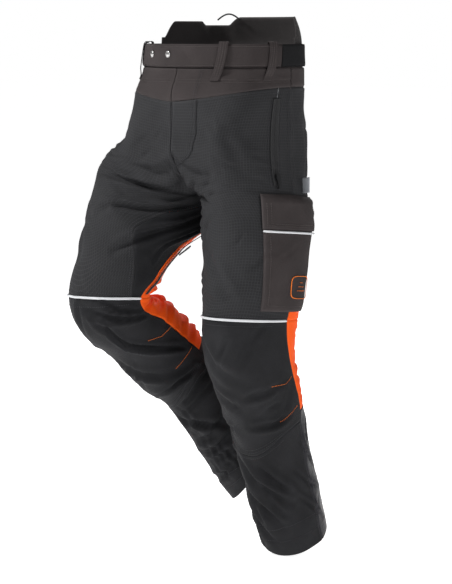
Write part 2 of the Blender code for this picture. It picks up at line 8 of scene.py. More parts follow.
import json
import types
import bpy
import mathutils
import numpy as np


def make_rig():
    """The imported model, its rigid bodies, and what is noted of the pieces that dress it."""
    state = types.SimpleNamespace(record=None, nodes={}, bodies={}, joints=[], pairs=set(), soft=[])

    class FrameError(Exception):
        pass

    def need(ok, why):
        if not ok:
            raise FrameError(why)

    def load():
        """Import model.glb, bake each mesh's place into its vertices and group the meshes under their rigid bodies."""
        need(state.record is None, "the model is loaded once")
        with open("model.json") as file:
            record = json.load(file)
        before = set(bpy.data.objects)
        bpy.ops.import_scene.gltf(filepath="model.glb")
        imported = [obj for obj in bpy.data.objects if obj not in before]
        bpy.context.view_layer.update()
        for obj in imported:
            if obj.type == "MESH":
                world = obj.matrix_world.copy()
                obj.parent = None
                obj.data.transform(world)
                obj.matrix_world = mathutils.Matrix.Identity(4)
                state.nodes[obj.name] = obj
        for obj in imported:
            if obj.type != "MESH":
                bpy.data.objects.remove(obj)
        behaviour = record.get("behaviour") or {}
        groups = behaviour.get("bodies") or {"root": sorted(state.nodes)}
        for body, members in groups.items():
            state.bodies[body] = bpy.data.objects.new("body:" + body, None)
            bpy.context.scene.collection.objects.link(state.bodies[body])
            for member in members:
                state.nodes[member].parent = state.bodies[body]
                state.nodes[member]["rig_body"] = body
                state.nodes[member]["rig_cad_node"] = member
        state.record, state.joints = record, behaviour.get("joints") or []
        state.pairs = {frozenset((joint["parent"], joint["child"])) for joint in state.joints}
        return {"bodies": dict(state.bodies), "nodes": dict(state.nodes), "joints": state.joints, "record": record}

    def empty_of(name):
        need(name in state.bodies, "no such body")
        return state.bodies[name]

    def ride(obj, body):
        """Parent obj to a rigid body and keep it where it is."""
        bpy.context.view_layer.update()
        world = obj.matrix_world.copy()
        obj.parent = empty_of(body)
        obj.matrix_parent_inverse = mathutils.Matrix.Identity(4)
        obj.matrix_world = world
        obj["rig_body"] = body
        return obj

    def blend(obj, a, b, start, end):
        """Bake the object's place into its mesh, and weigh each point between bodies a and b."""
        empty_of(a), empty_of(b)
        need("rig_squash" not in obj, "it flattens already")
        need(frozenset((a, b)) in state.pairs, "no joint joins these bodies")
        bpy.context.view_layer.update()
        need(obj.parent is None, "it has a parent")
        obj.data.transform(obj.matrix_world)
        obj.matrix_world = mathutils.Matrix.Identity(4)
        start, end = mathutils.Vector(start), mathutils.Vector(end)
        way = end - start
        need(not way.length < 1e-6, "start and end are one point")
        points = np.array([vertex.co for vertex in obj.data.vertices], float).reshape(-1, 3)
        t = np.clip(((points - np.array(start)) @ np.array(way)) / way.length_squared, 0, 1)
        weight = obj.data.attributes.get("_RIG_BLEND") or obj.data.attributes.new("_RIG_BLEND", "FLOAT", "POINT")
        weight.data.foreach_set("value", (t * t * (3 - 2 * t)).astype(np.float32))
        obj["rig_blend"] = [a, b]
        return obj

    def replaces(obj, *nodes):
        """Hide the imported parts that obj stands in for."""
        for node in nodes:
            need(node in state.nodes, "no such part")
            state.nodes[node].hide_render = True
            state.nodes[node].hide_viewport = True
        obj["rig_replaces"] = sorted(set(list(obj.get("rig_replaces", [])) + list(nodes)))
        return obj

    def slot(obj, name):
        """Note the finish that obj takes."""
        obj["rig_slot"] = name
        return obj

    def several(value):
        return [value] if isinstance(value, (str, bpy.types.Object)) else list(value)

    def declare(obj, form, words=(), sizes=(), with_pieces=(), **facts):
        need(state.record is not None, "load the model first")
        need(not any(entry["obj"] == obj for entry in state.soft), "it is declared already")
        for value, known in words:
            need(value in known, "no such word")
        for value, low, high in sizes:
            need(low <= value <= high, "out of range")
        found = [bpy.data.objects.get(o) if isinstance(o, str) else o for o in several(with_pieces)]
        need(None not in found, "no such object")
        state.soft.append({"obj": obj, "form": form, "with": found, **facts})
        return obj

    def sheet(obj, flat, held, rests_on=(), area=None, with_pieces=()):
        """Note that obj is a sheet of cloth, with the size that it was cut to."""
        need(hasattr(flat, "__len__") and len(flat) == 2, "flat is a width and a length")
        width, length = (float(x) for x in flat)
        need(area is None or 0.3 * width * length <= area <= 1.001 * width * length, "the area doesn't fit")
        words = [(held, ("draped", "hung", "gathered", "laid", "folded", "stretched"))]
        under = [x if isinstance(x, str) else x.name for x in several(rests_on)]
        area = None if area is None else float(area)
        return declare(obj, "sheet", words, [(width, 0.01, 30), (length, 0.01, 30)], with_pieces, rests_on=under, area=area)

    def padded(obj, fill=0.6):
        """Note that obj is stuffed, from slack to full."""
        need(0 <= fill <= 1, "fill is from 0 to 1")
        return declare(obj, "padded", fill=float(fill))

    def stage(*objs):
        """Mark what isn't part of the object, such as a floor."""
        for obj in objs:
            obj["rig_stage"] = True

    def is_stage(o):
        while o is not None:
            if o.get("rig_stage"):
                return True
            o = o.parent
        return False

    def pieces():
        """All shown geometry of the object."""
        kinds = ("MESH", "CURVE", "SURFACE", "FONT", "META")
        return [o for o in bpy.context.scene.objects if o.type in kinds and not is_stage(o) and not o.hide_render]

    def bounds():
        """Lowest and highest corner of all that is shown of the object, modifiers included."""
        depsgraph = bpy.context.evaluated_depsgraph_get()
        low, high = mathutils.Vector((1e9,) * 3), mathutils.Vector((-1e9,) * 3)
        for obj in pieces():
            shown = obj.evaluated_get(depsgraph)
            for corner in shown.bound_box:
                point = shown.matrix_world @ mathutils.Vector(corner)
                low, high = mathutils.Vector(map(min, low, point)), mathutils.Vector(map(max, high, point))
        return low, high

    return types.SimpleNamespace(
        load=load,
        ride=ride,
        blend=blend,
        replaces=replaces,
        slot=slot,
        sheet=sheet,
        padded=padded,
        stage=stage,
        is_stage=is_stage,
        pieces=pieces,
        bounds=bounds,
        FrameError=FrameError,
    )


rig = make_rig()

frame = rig.load()

import json
import math

import bpy
import numpy as np
from mathutils import Quaternion, Vector

CAD_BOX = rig.bounds()

# ---------------------------------------------------------------- the form
# The station, stance and drape values were fitted to the photo's silhouette by a separate script, then
# rounded. The points of LINES were looked up on the photo and typed in.
# trunk stations: depth below waist, half width, half depth front, half depth back
TRUNK = np.array((
    (0.000, 0.165, 0.135, 0.135),
    (0.050, 0.166, 0.143, 0.129),
    (0.100, 0.167, 0.160, 0.112),
    (0.200, 0.174, 0.160, 0.092),
    (0.292, 0.189, 0.138, 0.102),
))
# leg stations: depth, centre x, half width, half depth front, half depth back, centre y
LEG = np.array((
    (0.292, 0.0965, 0.096, 0.131, 0.108, -0.004),
    (0.380, 0.1010, 0.096, 0.121, 0.103, 0.000),
    (0.480, 0.1030, 0.093, 0.110, 0.090, 0.000),
    (0.570, 0.1040, 0.087, 0.103, 0.078, 0.000),
    (0.680, 0.1050, 0.078, 0.090, 0.076, 0.002),
    (0.800, 0.1060, 0.070, 0.076, 0.069, 0.006),
    (0.920, 0.1060, 0.064, 0.072, 0.075, 0.008),
    (1.020, 0.1060, 0.063, 0.072, 0.080, 0.008),
))
FORK_FRONT = 0.190          # depth where the front fork curve leaves the centre seam
FORK_BACK = 0.150
CROTCH = 0.292              # depth of the crotch point
CROTCH_Y = -0.006
CENTRE_GAP = 0.0005         # half the gap at the centre seam
HIP = Vector((0.09, 0.0, -0.13))
BLEND_START = np.array((0.0, 0.0, -0.285))
BLEND_RUN = np.array((0.075, 0.0, -0.085))
KNEE_X = 0.104
# hip flexion, hip abduction, leg turn, knee flexion in degrees, knee depth,
# half length of the cloth that bends at the knee
STANCE = {
    "left": (6.0, 0.5, 0.0, 22.5, 0.590, 0.100),
    "right": (23.0, 7.0, 23.0, 70.0, 0.550, 0.075),
}
# how the cloth lies on the bent leg: share drawn in over the knee and its depth, share drawn in
# behind the thigh and its depth, back turn of the lower shin in degrees, slack let out by the hem
DRAPE = {
    "left": (0.0, 0.59, 0.0, 0.474, 0.0, 0.0),
    "right": (0.215, 0.59, 0.33, 0.474, 12.0, 0.036),
}
DRAPE_HALF = 0.14           # half length of the cloth drawn in
DROP_DEPTH = 0.78           # where the lower shin turns back
BELT_HEIGHT = 0.046
BELT_OFFSET = (0.0010, 0.0038)
FLAP_RISE = 0.052           # height of the kidney flap above the waistband
BAG_PUFF = 0.006            # how far the cargo bag stands off the leg
BAG = (7.35, 10.7, 0.395, 0.60)     # first row, last row, first u, last u
PIPING_RADIUS = 0.0023
LAST_ROW = 20
BELOW_LAST = 19.9999        # just short of the last row, where a row below it still exists

# seam lines that run down the leg: (row, u) pairs
LINES = {
    "front_inner": ((2, 0.0), (7, 0.0), (8, 0.09), (9, 0.085), (11, 0.01)),
    "rear_inner": ((7, 1.0), (8, 0.89), (9, 0.89), (10, 0.94), (11, 0.968), (12, 0.948), (15, 0.92),
                   (20, 0.92)),
    "rear_outer": ((2, 0.5), (9, 0.5), (10, 0.505), (11, 0.495), (12, 0.52), (13, 0.535), (15, 0.54),
                   (16, 0.53)),
    "front_outer": ((11, 0.495), (12, 0.52), (13, 0.535), (15, 0.54), (16, 0.53), (17, 0.515), (20, 0.53)),
    "guard_front": ((15, 0.54), (16, 0.53), (17, 0.515), (20, 0.53)),
    "guard_back": ((15, 0.69), (20, 0.69)),
}

VENT_SHIFT, POCKET_SHIFT = -0.014, -0.055   # u from each zip's seam line to its middle

SIDES = ("left", "right")


def smooth(t):
    t = np.clip(t, 0.0, 1.0)
    return t * t * (3.0 - 2.0 * t)


def column(stations, index, v):
    """Monotone cubic through one column of a station table."""
    x = stations[:, 0]
    y = stations[:, index]
    h = np.diff(x)
    d = np.diff(y) / h
    m = np.zeros(len(x))
    m[0] = d[0]
    m[-1] = d[-1]
    product = d[:-1] * d[1:]
    total = np.where(product > 0, d[:-1] + d[1:], 1.0)
    m[1:-1] = np.where(product > 0, 2.0 * product / total, 0.0)
    v = np.clip(v, x[0], x[-1])
    i = np.clip(np.searchsorted(x, v) - 1, 0, len(h) - 1)
    t = (v - x[i]) / h[i]
    a = (1 + 2 * t) * (1 - t) ** 2 * y[i] + t * (1 - t) ** 2 * h[i] * m[i]
    b = t * t * (3 - 2 * t) * y[i + 1] + t * t * (t - 1) * h[i] * m[i + 1]
    return a + b


def front_bump(u):
    return np.clip(np.sin(2 * math.pi * u), 0, 1) ** 2


def seam_rows(u):
    """Depth of every seam row at u."""
    one = np.ones_like(u)
    yoke = 0.083 + 0.027 * np.cos(math.pi * u) ** 2 * np.where(u > 0.5, 0.4, 1.0)
    rows = [0 * one, BELT_HEIGHT * one, yoke]
    rows += [d * one for d in (0.15, 0.20, 0.245, 0.275, CROTCH, 0.345, 0.41, 0.475, 0.531)]
    rows += [d * one for d in (0.585, 0.635, 0.68, 0.725)]
    rows.append(0.747 + 0.045 * front_bump(u))
    rows.append(0.835 + 0.01 * front_bump(u))
    rows.append(0.89 * one)
    rows.append(0.935 + 0.01 * front_bump(u))
    rows.append(0.975 + 0.024 * front_bump(u) + 0.036 * np.sin(math.pi * u) ** 4)
    return np.stack(rows, -1)


def depth(k, u):
    """Depth below the waist of row k, where k may lie between rows."""
    rows = seam_rows(u % 1.0)
    i = np.clip(np.floor(k).astype(int), 0, rows.shape[-1] - 2)
    a = np.take_along_axis(rows, i[..., None], -1)[..., 0]
    b = np.take_along_axis(rows, i[..., None] + 1, -1)[..., 0]
    return a + (b - a) * (k - i)


def standing(v, u):
    """Point of the straight-legged form on the left half."""
    u = u % 1.0
    c = np.cos(2 * math.pi * u)
    s = np.sin(2 * math.pi * u)
    wide = column(TRUNK, 1, v)
    fore = column(TRUNK, 2, v)
    back = column(TRUNK, 3, v)
    edge = np.where(u < 0.5, -fore, back)
    ring_x = wide * np.sin(math.pi * u)
    ring_y = -np.abs(edge) * np.cos(math.pi * u)
    inner = (u < 0.25) | (u > 0.75)
    tf = np.clip((v - FORK_FRONT) / (CROTCH - FORK_FRONT), 0, 1)
    tb = np.clip((v - FORK_BACK) / (CROTCH - FORK_BACK), 0, 1)
    fork_f = CROTCH_Y - (fore + CROTCH_Y) * np.sqrt(1 - tf ** 2)
    fork_b = CROTCH_Y + (back - CROTCH_Y) * np.sqrt(1 - tb ** 2)
    fork = np.where(u < 0.5, fork_f, fork_b)
    centre = LEG[0, 1]
    dee_x = centre - np.where(inner, centre, wide - centre) * c
    dee_y = np.where(inner, fork + (edge - fork) * np.abs(s), edge * np.abs(s))
    m = smooth(v / 0.2)
    leg_x = column(LEG, 1, v) - column(LEG, 2, v) * c
    leg_y = -np.where(u < 0.5, column(LEG, 3, v), column(LEG, 4, v)) * s + column(LEG, 5, v)
    above = v < CROTCH
    x = np.where(above, ring_x + (dee_x - ring_x) * m, leg_x)
    y = np.where(above, ring_y + (dee_y - ring_y) * m, leg_y)
    return np.stack([x, y, -v], -1)


def turned(p, pivot, axis, angle):
    """Rotate points about an axis, each by its own angle."""
    a = np.array(axis, float)
    q = p - np.array(pivot)
    c = np.cos(angle)[..., None]
    s = np.sin(angle)[..., None]
    return np.array(pivot) + q * c + np.cross(a, q) * s + a * (q @ a)[..., None] * (1 - c)


def hip_turn(side):
    """Axis and angle that carry a straight left-side leg into its stance."""
    flex, spread, twist = (math.radians(a) for a in STANCE[side][:3])
    turn = Quaternion((0, 0, 1), twist)
    turn = Quaternion((1, 0, 0), -flex) @ turn
    turn = Quaternion((0, 1, 0), -spread) @ turn
    axis, angle = turn.to_axis_angle()
    return axis, angle


def hump(v, centre):
    t = np.clip(np.abs(v - centre) / DRAPE_HALF, 0, 1)
    return (1 - t * t) ** 2


def draped(side, p):
    """Shape the cloth takes on the bent leg, before the leg bends."""
    front, front_depth, back, back_depth, drop, slack = DRAPE[side]
    v = -p[..., 2]
    share = np.where(p[..., 1] < 0, front * hump(v, front_depth), back * hump(v, back_depth))
    v = v + slack * smooth((v - 0.8) / 0.2)
    p = np.stack([p[..., 0], p[..., 1] * (1 - share), -v], -1)
    w = smooth((v - DROP_DEPTH + 0.05) / 0.10)
    return turned(p, (KNEE_X, 0.0, -DROP_DEPTH), (1, 0, 0), -math.radians(drop) * w)


def posed(side, p):
    flex, depth_of_knee, half = STANCE[side][3:]
    knee = (KNEE_X, 0.0, -depth_of_knee)
    w = smooth((-p[..., 2] + knee[2] + half) / (2 * half))
    p0 = p
    p = turned(draped(side, p), knee, (1, 0, 0), math.radians(flex) * w)
    w = smooth(((p0 - BLEND_START) @ BLEND_RUN) / (BLEND_RUN @ BLEND_RUN))
    axis, angle = hip_turn(side)
    p = turned(p, HIP, axis, angle * w)
    p = p + np.array((CENTRE_GAP, 0, 0))
    return p * np.array((1.0 if side == "left" else -1.0, 1, 1))


def form(side, k, u, low=-9.0, high=9.0):
    """Point and outward normal of the posed form at (k, u)."""
    v = depth(k, u)
    e = 0.004
    u0 = np.maximum(u - e, low)
    u1 = np.minimum(u + e, high)
    p = posed(side, standing(v, u))
    du = posed(side, standing(v, u1 - 1e-9)) - posed(side, standing(v, u0 + 1e-9))
    dv = posed(side, standing(v + 0.002, u)) - posed(side, standing(v - 0.002, u))
    n = np.cross(dv, du)
    n /= np.maximum(np.linalg.norm(n, axis=-1, keepdims=True), 1e-12)
    if side == "right":
        n = -n
    return p, n


def trunk_form(v, u):
    """Point and outward normal of the trunk, smooth across the centre seams."""
    e = 0.004
    p = standing(v, u)
    front = standing(v, np.clip(u - e, 0, 0.9999))
    back = standing(v, np.clip(u + e, 0, 0.9999))
    run = back - front
    run = np.where((u < e)[..., None], np.array((1.0, 0, 0)), run)
    run = np.where((u > 1 - e)[..., None], np.array((-1.0, 0, 0)), run)
    p = np.where((u > 0.9999)[..., None], standing(v, np.full_like(u, 0.99999)), p)
    n = np.stack([-run[..., 1], run[..., 0], 0 * u], -1) * -1.0
    n /= np.linalg.norm(n, axis=-1, keepdims=True)
    return p, n


def at(side, k, u, offset=0.0):
    p, n = form(side, np.array([float(k)]), np.array([float(u)]))
    return Vector(p[0] + n[0] * offset), Vector(n[0])


def at_waist(a, v, offset=0.0):
    b = a % 2.0
    mirror = -1.0 if b > 1.0 else 1.0
    u = 2.0 - b if b > 1.0 else b
    p, n = trunk_form(np.array([max(v, 0.0)]), np.array([u]))
    p, n = Vector(p[0]), Vector(n[0])
    p.x *= mirror
    n.x *= mirror
    p.z = -v
    return p + n * offset, n


def edge(line, k):
    """A panel edge: a constant, a named seam line, or that line one turn back."""
    if not isinstance(line, str):
        return np.full_like(k, float(line))
    turn = -1.0 if line.startswith("-") else 0.0
    table = np.array(LINES[line.lstrip("-")])
    return np.interp(k, table[:, 0], table[:, 1]) + turn


def flap_rise(v, a):
    """Top edge of the kidney flap: a low wing on the right, a dip, then the tall back."""
    t = np.clip((0.030 - v) / 0.060, 0, 1)
    wing = 0.044 * smooth((1.515 - a) / 0.075) * smooth((a - 1.235) / 0.06)
    tall = FLAP_RISE * smooth((1.265 - a) / 0.16) * smooth((a - 0.545) / 0.085)
    between = 0.036 * smooth((1.505 - a) / 0.07) * smooth((a - 0.560) / 0.08)
    height = np.maximum(np.maximum(wing, tall), np.maximum(between, 0.012))
    return 0.030 - t * (0.030 + height)


def flap_lean(v, a):
    return -0.014 * np.clip(-v / 0.05, 0, 1) ** 1.5


def bag_lift(k, u):
    """Stand-off of the cargo bag: open at the top, falling to its sewn sides and bottom."""
    t = np.clip((k - BAG[0]) / (BAG[1] - BAG[0]), 0, 1)
    s = np.clip((u - BAG[2]) / (BAG[3] - BAG[2]), 0, 1)
    return BAG_PUFF * np.clip(6 * (1 - t), 0, 1) ** 0.6 * np.clip(8 * s * (1 - s), 0, 1) ** 0.6


def flap_lift(k, u):
    """Stand-off of the cargo flap: rises from its sewn top edge, then lies over the bag."""
    return bag_lift(np.full_like(k, BAG[0]), u) * smooth((k - 7.0) / 0.30)


# ---------------------------------------------------------------- creases
# (row, u) points of each valley, its depth and its half width in millimetres. The points in hundredths
# were looked up on the photo by a separate script and typed in. The others were placed one by one.
CREASES = {
    "right": (
        (((11.21, .197), (11.41, .119), (11.56, .049), (11.79, -.033)), 5.5, 7),
        (((11.49, .165), (11.71, .129), (12.39, .119), (13.07, .065), (14.22, -.031)), 6.0, 8),
        (((11.06, .115), (11.31, .055), (11.49, -.023)), 4.5, 6),
        (((12.9, .24), (13.6, .20), (14.4, .12), (14.9, .02)), 2.6, 12),
        (((15.77, -.005), (15.27, .081), (15.19, .213)), 5.0, 8),
        (((16.17, -.075), (16.27, .037), (16.24, .135)), 5.0, 8),
        (((16.39, -.049), (16.49, .031), (16.54, .095), (16.5, .17)), 4.5, 7),
        (((16.72, .223), (16.97, .163), (17.27, .109), (17.6, .04)), 4.5, 9),
        (((17.3, .0), (17.7, .133), (17.72, .21)), 4.0, 9),
        (((17.9, .02), (18.2, .139), (18.2, .26)), 4.0, 9),
        (((18.5, .06), (18.47, .125), (18.52, .215)), 3.5, 8),
        (((18.85, .10), (19.12, .195), (19.25, .31)), 3.5, 9),
        (((5.6, .05), (6.3, .10), (6.9, .17), (7.4, .26)), 4.0, 12),
        (((6.6, .03), (7.4, .07), (8.2, .13), (8.8, .21)), 4.0, 12),
        (((7.2, -.01), (8.1, .02), (9.0, .05), (9.8, .12)), 4.5, 11),
        (((7.5, -.06), (8.6, -.03), (9.6, .0)), 4.0, 9),
        (((4.6, .05), (5.0, .14), (5.2, .25)), 2.5, 14),
        (((8.6, .36), (9.3, .30), (10.2, .27)), 2.5, 16),
        (((3.0, .40), (3.9, .36), (5.2, .34)), 2.2, 15),
        (((10.5, .93), (10.2, .84), (10.1, .72)), 3.5, 7),
        (((10.9, .95), (10.8, .85), (10.9, .70)), 1.8, 8),
        (((11.6, .95), (11.4, .86), (11.7, .68)), 2.6, 9),
        (((12.2, .93), (12.3, .84), (12.0, .66)), 1.8, 10),
        (((12.9, .95), (12.7, .84), (12.9, .66)), 2.6, 9),
        (((13.5, .92), (13.6, .82), (13.4, .66)), 1.6, 10),
        (((14.4, .93), (14.2, .82), (14.4, .64)), 2.2, 10),
        (((15.4, .90), (15.3, .80), (15.4, .66)), 3.5, 9),
        (((12.1, .47), (12.7, .55), (13.0, .66)), 3.0, 8),
        (((16.4, .72), (17.0, .80), (17.5, .90)), 3.0, 10),
        (((17.6, .60), (18.2, .72), (18.6, .86)), 3.0, 11),
        (((19.0, .62), (19.3, .75), (19.4, .88)), 2.5, 10),
        (((16.9, .45), (17.7, .50), (18.5, .56)), 1.6, 7),
        (((17.9, .44), (18.6, .49), (19.3, .55)), 1.6, 7),
    ),
    "left": (
        (((5.4, .05), (6.2, .09), (6.9, .15), (7.5, .22)), 4.0, 12),
        (((6.5, .03), (7.3, .07), (8.3, .11), (9.1, .17)), 3.5, 13),
        (((7.2, -.01), (8.2, .01), (9.2, .04), (10.2, .05)), 3.5, 12),
        (((4.4, .05), (4.9, .13), (5.2, .23)), 2.4, 14),
        (((8.9, .19), (9.6, .24), (10.4, .30)), 2.4, 18),
        (((9.9, .12), (10.4, .19), (10.7, .27)), 2.2, 13),
        (((3.3, .30), (4.2, .34), (5.3, .35)), 2.0, 15),
        (((11.7, .16), (12.4, .22), (12.9, .32)), 2.6, 14),
        (((12.8, .12), (13.5, .18), (14.1, .28)), 2.6, 14),
        (((13.29, .463), (13.5, .40), (13.6, .31)), 2.4, 9),
        (((14.9, .46), (15.09, .40), (15.0, .30)), 2.6, 9),
        (((14.4, .02), (14.9, .10), (15.2, .19)), 3.0, 11),
        (((15.9, .05), (16.4, .13), (16.9, .22)), 3.5, 11),
        (((16.2, .16), (17.0, .24), (17.8, .33), (18.3, .40)), 4.0, 12),
        (((16.9, .10), (17.7, .18), (18.5, .27), (19.2, .35)), 4.0, 12),
        (((17.7, .06), (18.4, .13), (19.1, .21), (19.6, .29)), 3.5, 11),
        (((16.5, .29), (17.2, .35), (17.9, .40)), 3.0, 10),
        (((18.9, .03), (19.3, .09), (19.6, .15)), 3.0, 9),
        (((16.5, .90), (17.4, .97), (18.3, 1.04)), 3.0, 12),
        (((11.3, .96), (11.2, .84), (11.5, .62)), 1.8, 9),
        (((12.1, .95), (12.0, .80), (12.2, .60)), 2.4, 10),
        (((12.9, .94), (12.7, .80), (13.0, .58)), 2.2, 10),
        (((13.7, .94), (13.6, .80), (13.5, .56)), 2.0, 10),
        (((14.5, .92), (14.4, .78), (14.5, .58)), 3.0, 9),
        (((10.4, .90), (10.2, .76), (10.3, .60)), 2.5, 10),
        (((16.3, .49), (16.9, .55), (17.5, .60)), 1.8, 6),
        (((17.0, .44), (17.8, .51), (18.4, .59)), 1.8, 6),
        (((18.1, .44), (18.8, .50), (19.5, .57)), 1.8, 6),
        (((16.6, .70), (17.3, .78), (18.0, .87)), 2.8, 11),
        (((18.2, .64), (18.9, .74), (19.3, .87)), 2.6, 11),
    ),
}
SEAT_CREASES = (
    (((3.0, .93), (3.8, .86), (4.4, .74)), 3.0, 13),
    (((4.4, .94), (5.0, .86), (5.6, .72)), 3.5, 12),
    (((5.8, .95), (6.5, .87), (7.2, .76)), 4.0, 12),
    (((3.2, .60), (4.4, .62), (5.6, .60)), 2.2, 14),
    (((7.6, .86), (8.3, .78), (9.0, .66)), 3.0, 12),
)
DEEPER, CRISPER = 2.05, 0.62    # shares of the depths and half widths above that the cloth takes
RELIEF_LIMITS = (-0.0125, 0.009)


def girths():
    """Length round one side's ring at each quarter row of the straight form."""
    k = np.arange(0, 20.01, 0.25)
    u = np.linspace(0.0, 0.9999, 120)
    grid_k, grid_u = np.meshgrid(np.minimum(k, 19.999), u, indexing="ij")
    p = standing(depth(grid_k, grid_u), grid_u)
    return k, np.linalg.norm(np.diff(p, axis=1), axis=-1).sum(1)


GIRTH = girths()


def girth(k):
    return np.interp(k, *GIRTH)


def valley(k, u, path, deep, half, wrap):
    """Height of one crease: a valley with a soft ridge on each side, tapered to its ends."""
    path = np.array(path, float)
    around = float(girth(path[:, 0].mean()))
    drop = depth(np.clip(path[:, 0], 0, 19.999), path[:, 1])
    line = np.stack([path[:, 1] * around, drop], -1)
    runs = np.linalg.norm(np.diff(line, axis=0), axis=1)
    y = depth(np.clip(k, 0, 19.999), u)
    out = np.zeros_like(y)
    for turn in ((-1, 0, 1) if wrap else (0,)):
        x = (u + turn) * around
        best = np.full(x.shape, 9.0)
        along = np.zeros(x.shape)
        side = np.zeros(x.shape)
        done = 0.0
        for (ax, ay), (bx, by), run in zip(line[:-1], line[1:], runs):
            dx, dy = (bx - ax) / run, (by - ay) / run
            t = np.clip((x - ax) * dx + (y - ay) * dy, 0, run)
            off = np.hypot(x - ax - dx * t, y - ay - dy * t)
            near = off < best
            along = np.where(near, (done + t) / runs.sum(), along)
            side = np.where(near, np.sign((x - ax) * dy - (y - ay) * dx), side)
            best = np.minimum(best, off)
            done += run
        taper = np.sin(math.pi * np.clip(0.06 + 0.88 * along, 0, 1)) ** 0.8
        d = best * 1000 / half
        out += deep * 0.001 * taper * (-np.exp(-(d ** 2)) + 0.62 * np.exp(-((d - 1.9) / 1.0) ** 2)
                                       * (1 + 0.35 * side))
    return out


def ripple(k, u, seed):
    """Slow unevenness of worn cloth, the same at u and u + 1."""
    y = depth(np.clip(k, 0, 19.999), u) * 6.283
    a = 2 * math.pi * u
    return 0.0011 * (np.sin(2 * a + 3.1 * y + seed) + 0.8 * np.sin(3 * a - 5.3 * y + 2 * seed)
                     + 0.6 * np.sin(5 * a + 8.9 * y + 1.7 * seed) + 0.4 * np.sin(8 * a - 13.0 * y + seed))


def small_wrinkles(side):
    """Short soft wrinkles scattered over the worn cloth, thickest behind the knee and at the fork."""
    pick = np.random.default_rng(7 if side == "left" else 23)
    made = []
    for k0, k1, u0, u1, slope, count, deep in (
            (2.6, 6.4, 0.06, 0.48, 0.35, 12, 1.0), (4.6, 8.6, -0.02, 0.24, -0.9, 12, 1.5),
            (8.0, 10.8, 0.10, 0.48, -0.4, 9, 1.0), (11.2, 15.6, 0.02, 0.46, -0.7, 20, 1.2),
            (10.6, 14.8, 0.56, 0.94, 0.1, 14, 1.8), (16.2, 19.6, 0.00, 0.50, 0.9, 20, 1.4),
            (15.6, 19.4, 0.54, 0.95, -0.8, 14, 1.3), (3.0, 9.5, 0.56, 0.94, 0.5, 16, 1.2)):
        for _ in range(count):
            k, u = pick.uniform(k0, k1), pick.uniform(u0, u1)
            reach = pick.uniform(0.035, 0.085)
            tilt = slope * pick.uniform(0.4, 1.6) * reach / 0.06
            if side == "right":
                tilt = -tilt if k0 > 11 else tilt
            bend = pick.uniform(-0.15, 0.15)
            path = ((k - tilt / 2, u - reach / 2), (k + bend, u), (k + tilt / 2, u + reach / 2))
            path = tuple((min(max(a, 1.9), 19.9), b) for a, b in path)
            made.append((path, deep * pick.uniform(0.5, 1.1), pick.uniform(6.0, 10.0)))
    return tuple(made)


def relief_now(side, k, u):
    """Height of the creased cloth over the form, calmed at the centre, the fork and under the zips."""
    out = ripple(k, u, 1.3 if side == "left" else 4.1)
    for path, deep, half in CREASES[side] + SEAT_CREASES + small_wrinkles(side):
        ends = [q[0] for q in path]
        rows = (k[:, 0] > min(ends) - 0.8) & (k[:, 0] < max(ends) + 0.8)
        if not rows.any():
            continue
        some_k, some_u = k[rows], u[rows]
        height = valley(some_k, some_u, path, DEEPER * deep, CRISPER * half, False)
        if max(ends) > 6.2:
            around_leg = valley(some_k, some_u, path, DEEPER * deep, CRISPER * half, True)
            height = np.where(some_k >= 7, around_leg, height)
        out[rows] += height
    at_centre = smooth(u / 0.05) * smooth((1 - u) / 0.05)
    keep = np.where(k >= 7, 1.0, at_centre)
    keep = keep * smooth((k - 1.9) / 0.9)
    for line, shift, k0, k1 in (("rear_inner", VENT_SHIFT, 7.9, 10.8),
                                ("rear_outer", POCKET_SHIFT, 2.2, 6.6)):
        away = (u - edge(line, k) - shift) * girth(k) / 0.016
        run = smooth((k - k0 + 0.4) / 0.4) * smooth((k1 + 0.4 - k) / 0.4)
        keep = keep * (1 - 0.9 * np.exp(-away ** 2) * run)
    near_fork = smooth(np.abs(k - 7.0) / 0.9)
    keep = keep * np.where(np.abs(u % 1.0 - 0.5) > 0.42, near_fork, 1.0)
    return np.clip(out * keep, *RELIEF_LIMITS)


def table_of(side):
    """Creases on an even grid, so that every piece reads the same cloth."""
    k = np.linspace(0, 20, 401)
    u = np.linspace(-0.25, 1.25, 541)
    grid_k, grid_u = np.meshgrid(k, u, indexing="ij")
    inside = np.where(grid_k >= 7, grid_u, np.clip(grid_u, 0, 1))
    return relief_now(side, grid_k, inside)


RELIEF = {side: table_of(side) for side in SIDES}


def relief(side, k, u):
    """Height of the creased cloth, read from its side's grid."""
    table = RELIEF[side]
    x = np.clip(k / 20, 0, 1) * (table.shape[0] - 1)
    y = np.clip((u + 0.25) / 1.5, 0, 1) * (table.shape[1] - 1)
    i = np.minimum(x.astype(int), table.shape[0] - 2)
    j = np.minimum(y.astype(int), table.shape[1] - 2)
    a, b = x - i, y - j
    return ((table[i, j] * (1 - b) + table[i, j + 1] * b) * (1 - a)
            + (table[i + 1, j] * (1 - b) + table[i + 1, j + 1] * b) * a)


def surface(side, k, u, off=0.0, low=-9.0, high=9.0):
    """Point and normal of the creased cloth, off metres proud of it."""
    p, n = form(side, np.clip(k, 0, BELOW_LAST), u, low, high)
    return p + n * (relief(side, k, u) + off)[..., None], n


# ---------------------------------------------------------------- materials
LOOKS = {}


